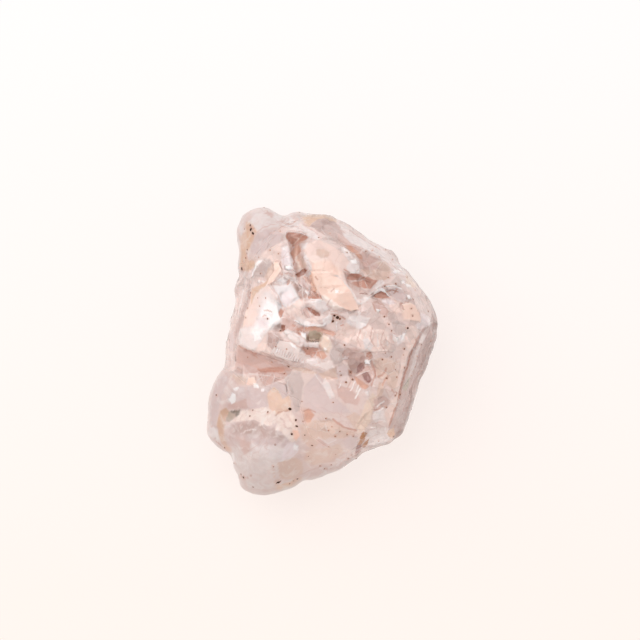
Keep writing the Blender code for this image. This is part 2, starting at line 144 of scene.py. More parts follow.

# Areas of other colour than the stone's pale pink, painted in this order: the finish, how many pixels its edge
# fades over, and the outline on the photograph's pixels.
# Most white patches below are painted highlights and glints, not the stone's own colour. Painted shade is marked where
# it stands.
PATCHES = [
    # The knob and the upper left.
    ("ochre", 5, [(246, 222), (254, 221), (258, 231), (252, 240), (245, 233)]),
    ("ochre", 4, [(248, 233), (254, 236), (253, 242), (250, 246), (247, 252), (246, 258), (250, 262), (256, 260),
        (254, 268), (249, 272), (244, 271), (240, 270), (239, 262), (240, 252), (241, 243), (244, 238)]),
    ("apricot", 4, [(238, 236), (244, 232), (248, 240), (244, 250), (241, 246)]),
    ("frost", 5, [(252, 212), (268, 210), (278, 216), (292, 218), (290, 226), (272, 227), (258, 232), (250, 222)]),
    ("frost", 4, [(239, 228), (243, 224), (244, 232), (239, 236)]),
    ("rose", 2, [(264, 213), (268, 210), (271, 212), (275, 213), (271, 217), (268, 214)]),
    ("lavender", 4, [(256, 236), (264, 229), (276, 230), (282, 234), (281, 240), (275, 247), (266, 252), (258, 256),
        (250, 252), (250, 247), (254, 241)]),
    ("lavender", 3, [(270, 238), (280, 232), (281, 240), (274, 247), (268, 249), (271, 243)]),
    ("frost", 3, [(283, 222), (290, 216), (300, 222), (312, 231), (322, 237), (318, 241), (306, 237), (292, 231),
        (286, 228)]),
    ("pale_peach", 3, [(259, 260), (264, 253), (271, 248), (280, 243), (283, 250), (281, 262), (279, 272), (274, 270),
        (270, 262), (266, 258)]),
    ("peach", 3, [(272, 262), (280, 262), (282, 270), (277, 278), (272, 284), (263, 290), (257, 298), (252, 310),
        (247, 324), (242, 328), (247, 304), (251, 291), (258, 287), (266, 281), (271, 272)]),
    ("ochre", 3, [(252, 288), (262, 285), (269, 279), (266, 286), (258, 293), (254, 302), (250, 308), (251, 296)]),
    ("white", 2, [(259, 260), (263, 261), (257, 268), (254, 276), (252, 277), (254, 269), (257, 263)]),
    ("grey", 2, [(264, 260), (270, 259), (273, 263), (270, 268), (266, 274), (263, 278), (254, 277), (255, 272),
        (258, 266)]),
    ("tan", 3, [(268, 268), (273, 263), (274, 272), (267, 281), (264, 278)]),
    ("white", 1, [(257, 281), (260, 280), (260, 283), (258, 282)]),
    ("white", 1, [(261, 281), (265, 281), (263, 283)]),
    ("blush", 3, [(282, 247), (288, 246), (292, 252), (294, 260), (295, 268), (292, 272), (284, 271), (281, 262)]),
    ("white", 2, [(285, 266), (291, 265), (294, 269), (289, 271), (285, 269)]),
    ("white", 2, [(283, 248), (287, 247), (286, 251), (283, 250)]),
    ("ochre", 2, [(302, 217), (306, 215), (315, 214), (325, 215), (337, 218), (336, 222), (325, 219), (316, 220),
        (310, 226), (305, 223)]),
    ("mauve", 2, [(311, 226), (316, 220), (325, 218), (336, 222), (344, 231), (350, 238), (346, 244), (334, 240),
        (325, 236), (317, 232)]),
    ("rose", 3, [(336, 232), (350, 238), (364, 248), (360, 252), (350, 246), (340, 241)]),
    # The plateau and the peach facet.
    ("pale_peach", 3, [(303, 247), (316, 240), (326, 243), (338, 250), (346, 258), (352, 268), (353, 275), (345, 276),
        (335, 272), (312, 271), (309, 262), (304, 254)]),
    ("veil", 4, [(311, 262), (322, 261), (331, 266), (330, 271), (313, 271)]),
    ("frost", 3, [(301, 244), (308, 243), (306, 249), (302, 250)]),
    ("tan", 3, [(316, 250), (323, 249), (330, 253), (328, 258), (321, 259), (316, 255)]),
    ("peach", 1.5, [(312, 272), (334, 272), (341, 280), (350, 291), (356, 301), (359, 310), (350, 311), (344, 309),
        (333, 303), (322, 299), (317, 290), (313, 280)]),
    ("peach", 9, [(306, 263), (330, 261), (340, 272), (344, 286), (322, 288), (311, 277)]),
    ("veil", 3, [(322, 295), (334, 302), (345, 309), (334, 310), (325, 303), (321, 299)]),
    ("orange", 3, [(309, 272), (312, 272), (314, 281), (317, 289), (319, 296), (314, 294), (310, 286), (308, 278)]),
    ("white", 1, [(335, 290), (338, 290), (338, 293), (335, 293)]),
    ("frost", 2, [(333, 276), (338, 276), (345, 283), (352, 290), (357, 300), (366, 296), (372, 296), (364, 303),
        (358, 306), (350, 291), (341, 280)]),
    ("frost", 2, [(341, 246), (352, 251), (358, 258), (361, 266), (359, 271), (354, 274), (348, 273), (346, 268),
        (350, 262), (344, 256)]),
    ("white", 1.5, [(347, 272), (354, 273), (361, 269), (359, 274), (352, 276)]),
    ("white", 2, [(350, 260), (356, 259), (357, 264), (352, 264)]),
    ("white", 2, [(343, 247), (349, 250), (350, 254), (344, 251)]),
    # The band round the upper right.
    ("frost", 4, [(338, 222), (347, 227), (360, 236), (374, 245), (387, 251), (398, 262), (401, 268), (390, 264),
        (376, 256), (364, 249), (352, 242), (344, 235)]),
    ("rose", 4, [(343, 244), (352, 246), (362, 251), (372, 257), (382, 261), (388, 268), (388, 276), (374, 271),
        (366, 272), (361, 262), (357, 256), (350, 249)]),
    ("rust", 2, [(344, 245), (351, 246), (358, 252), (363, 259), (359, 259), (354, 253), (349, 249)]),
    ("tan", 3, [(376, 262), (386, 261), (391, 268), (390, 276), (382, 272)]),
    ("frost", 3, [(392, 268), (400, 264), (408, 270), (406, 276), (398, 274)]),
    ("white", 2, [(392, 271), (397, 268), (402, 269), (398, 273), (394, 274)]),
    # A painted highlight on the rim.
    ("cream", 3, [(406, 274), (412, 277), (417, 286), (413, 288), (406, 284)]),
    ("white", 1.5, [(400, 281), (404, 281), (404, 284), (400, 284)]),
    ("white", 1.5, [(405, 284), (411, 284), (411, 287), (406, 287)]),
    ("tan", 3, [(361, 270), (372, 270), (378, 269), (386, 274), (390, 279), (382, 281), (374, 279), (366, 276)]),
    ("tan", 3, [(370, 274), (376, 271), (384, 274), (388, 278), (381, 280), (374, 279)]),
    ("brown", 1.5, [(347, 276), (351, 274), (357, 274), (361, 276), (358, 280), (352, 281), (347, 279)]),
    ("brown", 1.5, [(351, 283), (361, 281), (362, 277), (367, 276), (373, 279), (378, 280), (374, 284), (370, 288),
        (364, 288), (357, 287)]),
    ("frost", 2, [(373, 285), (378, 280), (382, 280), (384, 284), (381, 288), (376, 290), (372, 288)]),
    ("white", 2, [(371, 297), (376, 290), (381, 288), (385, 290), (390, 297), (387, 297), (380, 292), (374, 296)]),
    ("brown", 1.5, [(372, 296), (380, 292), (385, 294), (389, 298), (381, 298)]),
    ("lavender", 2, [(386, 288), (394, 287), (402, 290), (406, 298), (403, 302), (395, 300), (390, 295)]),
    ("white", 1.5, [(405, 294), (409, 295), (411, 299), (408, 300), (406, 297)]),
    ("pale_peach", 2, [(388, 304), (396, 300), (400, 305), (402, 314), (396, 313), (390, 310)]),
    ("blush", 2, [(380, 299), (392, 300), (396, 303), (388, 304), (382, 302)]),
    ("peach", 2, [(401, 304), (410, 302), (415, 306), (420, 316), (421, 322), (412, 320), (403, 320), (402, 312)]),
    ("rose", 2, [(370, 302), (378, 301), (384, 306), (388, 312), (386, 317), (380, 314), (374, 309)]),
    ("white", 1.5, [(375, 309), (380, 310), (377, 313)]),
    ("grey", 3, [(391, 324), (397, 320), (405, 325), (407, 331), (400, 336), (394, 331)]),
    ("blush", 3, [(420, 312), (430, 318), (430, 326), (420, 330), (412, 327), (420, 322)]),
    ("mauve", 2, [(431, 314), (437, 322), (437, 329), (430, 331), (433, 322)]),
    # The brown cleft from the top, and the blocks beside its foot.
    ("brown", 1.5, [(285, 236), (289, 233), (297, 234), (308, 238), (303, 241), (299, 244), (297, 247), (293, 246),
        (291, 243), (288, 240)]),
    ("rust", 2, [(295, 246), (298, 245), (300, 248), (301, 252), (297, 256), (295, 258), (294, 263), (293, 256),
        (291, 254), (293, 250)]),
    ("tan", 2, [(295, 258), (300, 254), (303, 260), (305, 268), (302, 270), (298, 268), (296, 262)]),
    ("frost", 2, [(303, 252), (307, 257), (311, 266), (312, 271), (308, 271), (304, 262)]),
    ("grey", 2, [(272, 284), (279, 275), (284, 273), (291, 275), (297, 277), (299, 280), (295, 283), (290, 282),
        (287, 286), (280, 286)]),
    ("silver", 1.5, [(277, 281), (281, 278), (287, 280), (287, 284), (280, 285)]),
    ("silver", 1.5, [(270, 285), (280, 286), (291, 284), (296, 291), (299, 299), (292, 304), (286, 308), (282, 306),
        (278, 298), (274, 291)]),
    ("blush", 6, [(280, 294), (290, 290), (296, 298), (288, 306), (282, 303)]),
    ("mauve", 2, [(294, 284), (299, 283), (303, 290), (307, 297), (302, 300), (298, 294)]),
    ("lavender", 1.5, [(301, 278), (305, 280), (310, 290), (306, 291), (302, 286)]),
    ("white", 1, [(305, 290), (310, 291), (311, 295), (307, 293)]),
    ("dark_brown", 1.5, [(296, 275), (299, 273), (302, 270), (304, 269), (306, 271), (303, 275), (299, 277)]),
    ("frost", 1.5, [(306, 274), (310, 271), (310, 275), (307, 277)]),
    ("brown", 1.5, [(309, 296), (316, 294), (320, 296), (323, 300), (316, 300), (309, 299)]),
    ("brown", 1, [(311, 291), (316, 293), (313, 295)]),
    # The bright facet at the left, whose white and blush patches are a painted highlight on its gloss, and the wall
    # beside it.
    ("mauve", 6, [(247, 285), (251, 285), (250, 300), (245, 318), (239, 332), (233, 344), (232, 333), (240, 315),
        (246, 298)]),
    ("lavender", 5, [(230, 333), (234, 330), (235, 340), (232, 350), (228, 352)]),
    ("pale_peach", 3, [(256, 294), (264, 288), (269, 284), (275, 294), (274, 302), (262, 302), (258, 312), (255, 325),
        (246, 330), (246, 318), (250, 306)]),
    ("frost", 6, [(240, 329), (250, 326), (262, 329), (272, 328), (266, 334), (262, 340), (254, 351), (246, 348),
        (240, 344), (238, 338)]),
    ("frost", 16, [(263, 291), (271, 289), (277, 300), (280, 313), (272, 324), (262, 322), (258, 308)]),
    ("white", 14, [(267, 298), (274, 303), (281, 313), (283, 321), (273, 328), (264, 331), (255, 338), (251, 332),
        (257, 322), (260, 312)]),
    ("white", 1.2, [(275, 305), (280, 312), (283, 320), (273, 328), (269, 322), (272, 313)]),
    ("blush", 12, [(256, 318), (267, 317), (269, 326), (259, 328)]),
    ("white", 2, [(254, 331), (263, 329), (260, 335), (262, 339), (254, 341)]),
    ("silver", 2, [(275, 300), (279, 300), (283, 308), (283, 319), (279, 314), (276, 306)]),
    ("grey", 1.5, [(273, 329), (281, 323), (281, 330), (278, 331)]),
    # The shelf, its clefts and pits, and the ledge.
    ("pale_peach", 2, [(284, 308), (300, 300), (308, 302), (302, 308), (296, 310), (294, 317), (284, 316)]),
    ("frost", 2, [(306, 302), (316, 299), (324, 301), (330, 309), (322, 313), (317, 310), (311, 304)]),
    ("pale_peach", 2, [(294, 309), (304, 307), (311, 313), (318, 317), (318, 321), (306, 320), (297, 317)]),
    ("rose", 2, [(300, 307), (306, 308), (312, 314), (316, 318), (308, 318), (302, 314)]),
    ("rose", 2, [(281, 317), (295, 317), (298, 320), (294, 324), (303, 328), (310, 330), (300, 334), (292, 331),
        (284, 329), (281, 324)]),
    ("frost", 1.5, [(294, 320), (299, 317), (312, 323), (324, 325), (322, 319), (330, 314), (333, 320), (326, 325),
        (318, 327), (304, 327)]),
    ("rust", 2, [(298, 329), (304, 327), (322, 327), (328, 330), (337, 332), (333, 336), (325, 333), (312, 332),
        (305, 331)]),
    ("dark_brown", 1, [(306, 307), (310, 308), (319, 313), (320, 316), (315, 316), (311, 313), (307, 310)]),
    ("brown", 1.5, [(281, 308), (284, 311), (282, 316), (280, 318), (279, 312)]),
    ("dark_brown", 1, [(281, 325), (285, 325), (285, 328), (282, 331), (280, 330)]),
    ("brown", 1.5, [(294, 328), (301, 329), (305, 337), (299, 333)]),
    ("frost", 2, [(283, 330), (288, 328), (296, 332), (303, 337), (307, 342), (304, 347), (297, 345), (288, 338)]),
    ("milky", 1.5, [(286, 334), (292, 333), (299, 338), (301, 344), (293, 342)]),
    ("white", 1.5, [(300, 331), (306, 333), (307, 339), (303, 337)]),
    ("olive", 1, [(308, 334), (310, 331), (323, 331), (322, 336), (319, 342), (312, 342), (307, 339)]),
    ("dark_olive", 1, [(308, 339), (312, 341), (319, 338), (319, 342), (312, 342)]),
    ("frost", 1.5, [(306, 343), (319, 343), (319, 348), (304, 347)]),
    ("brown", 1.5, [(303, 348), (318, 349), (315, 354), (312, 356), (306, 354)]),
    ("rust", 2, [(317, 350), (323, 351), (327, 356), (322, 359), (316, 356)]),
    ("cream", 2, [(320, 338), (325, 333), (330, 339), (332, 346), (328, 354), (322, 351), (319, 344)]),
    ("white", 1, [(324, 347), (327, 349), (325, 352), (323, 350)]),
    ("grey", 3, [(330, 338), (338, 342), (345, 352), (342, 362), (334, 364), (329, 356), (333, 346)]),
    ("mauve", 3, [(268, 332), (280, 333), (284, 340), (282, 350), (274, 352), (268, 344)]),
    ("milky", 2, [(280, 340), (290, 342), (297, 346), (303, 351), (305, 356), (314, 358), (322, 362), (332, 361),
        (334, 366), (326, 370), (318, 366), (305, 363), (290, 361), (276, 357), (272, 350)]),
    ("frost", 1.5, [(308, 358), (318, 359), (320, 363), (312, 365), (306, 362)]),
    ("white", 2, [(290, 342), (296, 345), (297, 349), (292, 347)]),
    ("white", 1.5, [(276, 349), (280, 349), (280, 352), (276, 352)]),
    ("pale_peach", 2, [(258, 345), (266, 338), (269, 350), (273, 357), (264, 356), (255, 352)]),
    # The hollow under the ledge, darkened with painted shade from the ledge's overhang.
    ("painted_shade", 2.5, [(236, 345), (246, 350), (256, 353), (268, 358), (280, 364), (290, 367), (284, 371), (262, 371),
        (250, 373), (238, 368), (233, 358)]),
    ("rose", 3, [(234, 362), (250, 366), (268, 362), (276, 367), (260, 369), (246, 374), (234, 372)]),
    ("brown", 3, [(258, 369), (270, 367), (286, 367), (294, 369), (286, 376), (272, 376), (262, 373)]),
    ("tan", 2, [(280, 362), (290, 366), (305, 368), (318, 373), (326, 371), (336, 367), (346, 375), (336, 379),
        (324, 379), (312, 374), (296, 370)]),
    # The left lobe and the folds above the dome.
    ("lavender", 4, [(212, 392), (218, 378), (228, 374), (228, 384), (222, 396), (218, 412), (216, 430), (211, 430),
        (209, 410)]),
    ("frost", 3, [(209, 426), (218, 430), (219, 440), (213, 440), (208, 434)]),
    ("ochre", 3, [(221, 410), (227, 407), (229, 412), (227, 420), (224, 428), (224, 436), (228, 445), (233, 453),
        (227, 450), (220, 440), (217, 428), (218, 418)]),
    ("tan", 3, [(230, 375), (246, 376), (246, 384), (238, 384)]),
    ("peach", 1.5, [(248, 377), (255, 376), (257, 382), (253, 385), (247, 384)]),
    # More painted shade, just below the hollow under the ledge.
    ("painted_shade", 3, [(258, 372), (270, 371), (286, 373), (284, 379), (274, 382), (266, 386), (261, 380)]),
    ("lavender", 3, [(232, 391), (240, 386), (252, 386), (262, 387), (276, 382), (286, 384), (288, 394), (283, 398),
        (274, 388), (268, 392), (268, 406), (258, 408), (246, 409), (234, 410), (228, 406), (227, 398)]),
    ("rose", 3, [(228, 402), (236, 402), (246, 398), (248, 408), (234, 410), (228, 408)]),
    ("white", 1.5, [(228, 399), (233, 392), (236, 394), (236, 401), (232, 404)]),
    ("white", 1.5, [(234, 388), (240, 387), (238, 390), (235, 390)]),
    ("white", 1.5, [(253, 383), (258, 384), (259, 388), (254, 388)]),
    ("white", 1.5, [(262, 388), (265, 388), (264, 391), (261, 391)]),
    ("olive", 1.5, [(228, 412), (236, 411), (240, 411), (238, 414), (233, 420), (229, 422), (226, 421)]),
    ("dark_olive", 1.5, [(229, 411), (241, 409), (239, 413), (236, 418), (234, 414)]),
    # The dome and the toe.
    ("milky", 6, [(232, 440), (250, 440), (266, 446), (282, 458), (280, 478), (268, 490), (250, 488), (240, 476),
        (231, 466)]),
    ("tan", 2, [(278, 462), (296, 457), (303, 462), (303, 474), (292, 480), (280, 478)]),
    ("frost", 1.5, [(250, 440), (270, 440), (285, 440), (294, 440), (299, 446), (298, 450), (296, 454), (293, 456),
        (290, 459), (286, 459), (282, 461), (276, 459), (268, 459), (258, 456), (250, 452)]),
    ("milky", 12, [(236, 446), (252, 446), (264, 454), (272, 464), (260, 470), (240, 466)]),
    ("lavender", 14, [(228, 424), (240, 421), (252, 419), (262, 422), (274, 426), (284, 430), (292, 438),
        (288, 447), (272, 445), (258, 444), (248, 442), (236, 444), (228, 443)]),
    # A mauve band of painted shade along the dome's upper edge.
    ("mauve", 12, [(230, 426), (242, 422), (254, 421), (264, 424), (276, 429), (285, 436), (282, 441),
        (268, 438), (254, 435), (242, 434), (232, 437)]),
    ("rose", 8, [(238, 438), (244, 436), (250, 442), (250, 452), (243, 454)]),
    ("blush", 2.5, [(286, 442), (294, 441), (299, 446), (298, 451), (294, 456), (287, 459), (280, 460), (283, 452)]),
    ("white", 3, [(294, 443), (298, 446), (297, 450), (294, 449)]),
    ("apricot", 2.5, [(277, 486), (290, 482), (300, 477), (303, 479), (295, 485), (284, 490), (276, 490)]),
    # The cream veil and its mottled end.
    ("apricot", 1, [(268, 394), (270, 389), (274, 387), (279, 392), (284, 398), (289, 395), (291, 400), (291, 410),
        (285, 412), (277, 414), (270, 413), (268, 404)]),
    ("veil", 1.2, [(229, 422), (236, 417), (242, 411), (252, 409), (262, 407), (270, 408), (276, 412), (277, 418),
        (272, 424), (266, 425), (259, 424), (262, 421), (250, 420), (240, 421)]),
    ("veil", 1.2, [(276, 414), (283, 412), (291, 411), (296, 418), (298, 426), (297, 432), (297, 438), (293, 442),
        (290, 440), (286, 436), (282, 431), (275, 430), (277, 424), (273, 420)]),
    ("orange", 3, [(293, 429), (298, 430), (300, 435), (297, 440), (294, 438)]),
    # The large facet and the folds below it.
    ("grey", 4, [(286, 370), (300, 372), (304, 382), (302, 395), (300, 410), (296, 412), (292, 400), (288, 385)]),
    ("lavender", 3, [(303, 388), (312, 378), (318, 373), (327, 384), (336, 398), (345, 405), (350, 412), (330, 413),
        (312, 411), (304, 404)]),
    ("frost", 2, [(322, 384), (326, 379), (331, 387), (335, 396), (330, 398)]),
    ("rose", 4, [(336, 384), (350, 388), (360, 398), (358, 405), (345, 402), (338, 396)]),
    ("lavender", 3, [(336, 366), (346, 364), (350, 374), (345, 384), (338, 380)]),
    ("rust", 5, [(303, 410), (309, 408), (314, 414), (311, 421), (308, 425), (304, 420)]),
    ("tan", 4, [(300, 424), (316, 420), (333, 420), (345, 428), (356, 432), (352, 437), (340, 438), (330, 437),
        (322, 440), (312, 450), (302, 440)]),
    ("rose", 2, [(315, 439), (320, 438), (326, 442), (328, 446), (323, 445), (318, 442)]),
    ("tan", 4, [(306, 450), (320, 448), (340, 444), (344, 452), (330, 462), (312, 466), (304, 460)]),
    ("lavender", 3, [(343, 440), (350, 436), (358, 439), (357, 446), (352, 450), (345, 448)]),
    ("tan", 4, [(346, 416), (354, 412), (362, 416), (360, 430), (354, 430), (350, 422)]),
    # The right side: peach mosaic, sparkle pit, and the strip beside the prism face.
    ("pale_peach", 3, [(333, 333), (340, 330), (347, 322), (357, 318), (368, 322), (374, 329), (388, 331), (391, 342),
        (389, 350), (375, 353), (366, 353), (360, 349), (352, 345), (345, 341), (336, 338)]),
    ("frost", 3, [(345, 322), (350, 316), (360, 315), (370, 318), (366, 327), (360, 330), (352, 328)]),
    ("frost", 2, [(362, 340), (368, 338), (373, 346), (370, 351), (364, 348)]),
    ("frost", 3, [(392, 333), (398, 336), (405, 333), (404, 342), (397, 345), (392, 340)]),
    ("white", 1.5, [(394, 336), (398, 337), (396, 342)]),
    ("white", 1.5, [(402, 333), (405, 333), (403, 339), (400, 341)]),
    ("pale_peach", 3, [(408, 326), (417, 326), (417, 342), (410, 346), (406, 338)]),
    ("rose", 2, [(341, 354), (347, 348), (354, 347), (360, 350), (366, 356), (368, 362), (372, 374), (371, 384),
        (366, 388), (358, 384), (350, 378), (348, 372), (352, 372), (349, 366), (345, 360)]),
    ("mauve", 2, [(346, 360), (352, 358), (360, 362), (364, 366), (358, 374), (352, 372), (349, 366)]),
    ("plum", 1.5, [(358, 367), (362, 363), (364, 367), (362, 371), (356, 373)]),
    ("plum", 1.5, [(362, 374), (367, 373), (371, 379), (368, 383), (364, 379)]),
    ("lavender", 1, [(344, 355), (349, 356), (348, 359), (343, 359)]),
    ("white", 1, [(364, 360), (370, 360), (370, 365), (364, 364)]),
    ("brown", 1.5, [(366, 354), (371, 353), (372, 357), (370, 359), (366, 358)]),
    ("brown", 1.5, [(348, 369), (352, 371), (352, 374), (349, 373)]),
    ("rust", 3, [(354, 376), (362, 381), (368, 386), (364, 389), (356, 384)]),
    ("tan", 3, [(372, 362), (380, 357), (398, 361), (396, 369), (388, 373), (384, 381), (378, 378), (374, 372)]),
    ("tan", 3, [(378, 382), (384, 384), (382, 396), (376, 396)]),
    ("tan", 3, [(384, 372), (398, 370), (400, 384), (394, 390), (386, 384)]),
    ("cream", 3, [(372, 392), (376, 396), (372, 408), (371, 420), (364, 432), (358, 434), (356, 424), (362, 412),
        (366, 400)]),
    ("frost", 1.5, [(364, 391), (369, 389), (368, 395), (365, 394)]),
    ("rose", 3, [(372, 398), (384, 395), (392, 402), (391, 410), (384, 408), (376, 411)]),
    ("pale_peach", 2, [(406, 345), (414, 345), (409, 356), (404, 369), (400, 383), (398, 397), (395, 392), (398, 374),
        (401, 358)]),
    ("pale_peach", 2, [(391, 400), (397, 396), (396, 406), (393, 416), (388, 424), (385, 414), (388, 405)]),
    ("frost", 3, [(373, 412), (384, 410), (386, 422), (376, 424), (372, 418)]),
    ("frost", 3, [(370, 430), (386, 427), (389, 438), (384, 445), (370, 447), (366, 440)]),
    # The prism face: its own darker mauve-brown colour, deepened with painted shade because it turns away from the
    # light.
    ("smoky_shade", 1.5, [(415, 343), (419, 334), (427, 326), (437, 322), (438, 336), (434, 349), (427, 366), (419, 386),
        (411, 406), (405, 425), (402, 434), (395, 440), (390, 434), (388, 427), (394, 414), (397, 400), (400, 385),
        (404, 368), (409, 352)]),
    ("frost", 3, [(418, 342), (423, 334), (426, 336), (422, 344)]),
    ("grey", 2, [(418, 345), (421, 346), (416, 362), (411, 378), (408, 377), (413, 360)]),
    ("olive", 2, [(402, 388), (406, 380), (410, 377), (409, 386), (405, 391)]),
    ("ochre", 2, [(388, 430), (394, 428), (395, 434), (393, 438), (389, 437), (387, 433)]),
    ("amber", 1, [(361, 435), (364, 432), (367, 434), (364, 441), (361, 447), (358, 450), (357, 446), (360, 440)]),
    ("amber", 1, [(364, 443), (369, 439), (367, 446), (364, 449), (362, 447)]),
    ("plum", 1.5, [(357, 446), (361, 445), (362, 450), (357, 456), (355, 454)]),
]

# Areas whose pits are shallow: the pale shelf with the groove under it, and the sparkle pit at the right.
SHALLOW_AREAS = [
    [(279, 306), (306, 297), (332, 303), (342, 320), (340, 338), (318, 332), (300, 336), (272, 334)],
    [(344, 352), (366, 352), (374, 370), (372, 388), (360, 386), (346, 372)],
]

# Areas that are smooth, apart from the smooth finishes: the plateau, the hollow under the ledge, the large facet
# and the folds beside it, the lower right, the bright facet, and the pale facet beside its upper end.
SMOOTH_AREAS = [
    [(305, 244), (326, 240), (346, 256), (356, 272), (362, 300), (352, 312), (330, 306), (312, 284)],
    [(236, 347), (262, 356), (290, 368), (284, 374), (250, 374), (234, 366)],
    [(286, 374), (318, 370), (350, 376), (366, 396), (368, 412), (352, 430), (330, 420), (300, 412)],
    [(306, 426), (350, 438), (352, 450), (330, 464), (304, 470)],
    [(256, 294), (268, 284), (283, 310), (283, 322), (262, 345), (254, 351), (240, 344), (240, 330), (250, 306)],
    [(270, 286), (281, 284), (294, 283), (301, 299), (286, 309), (278, 298)],
]
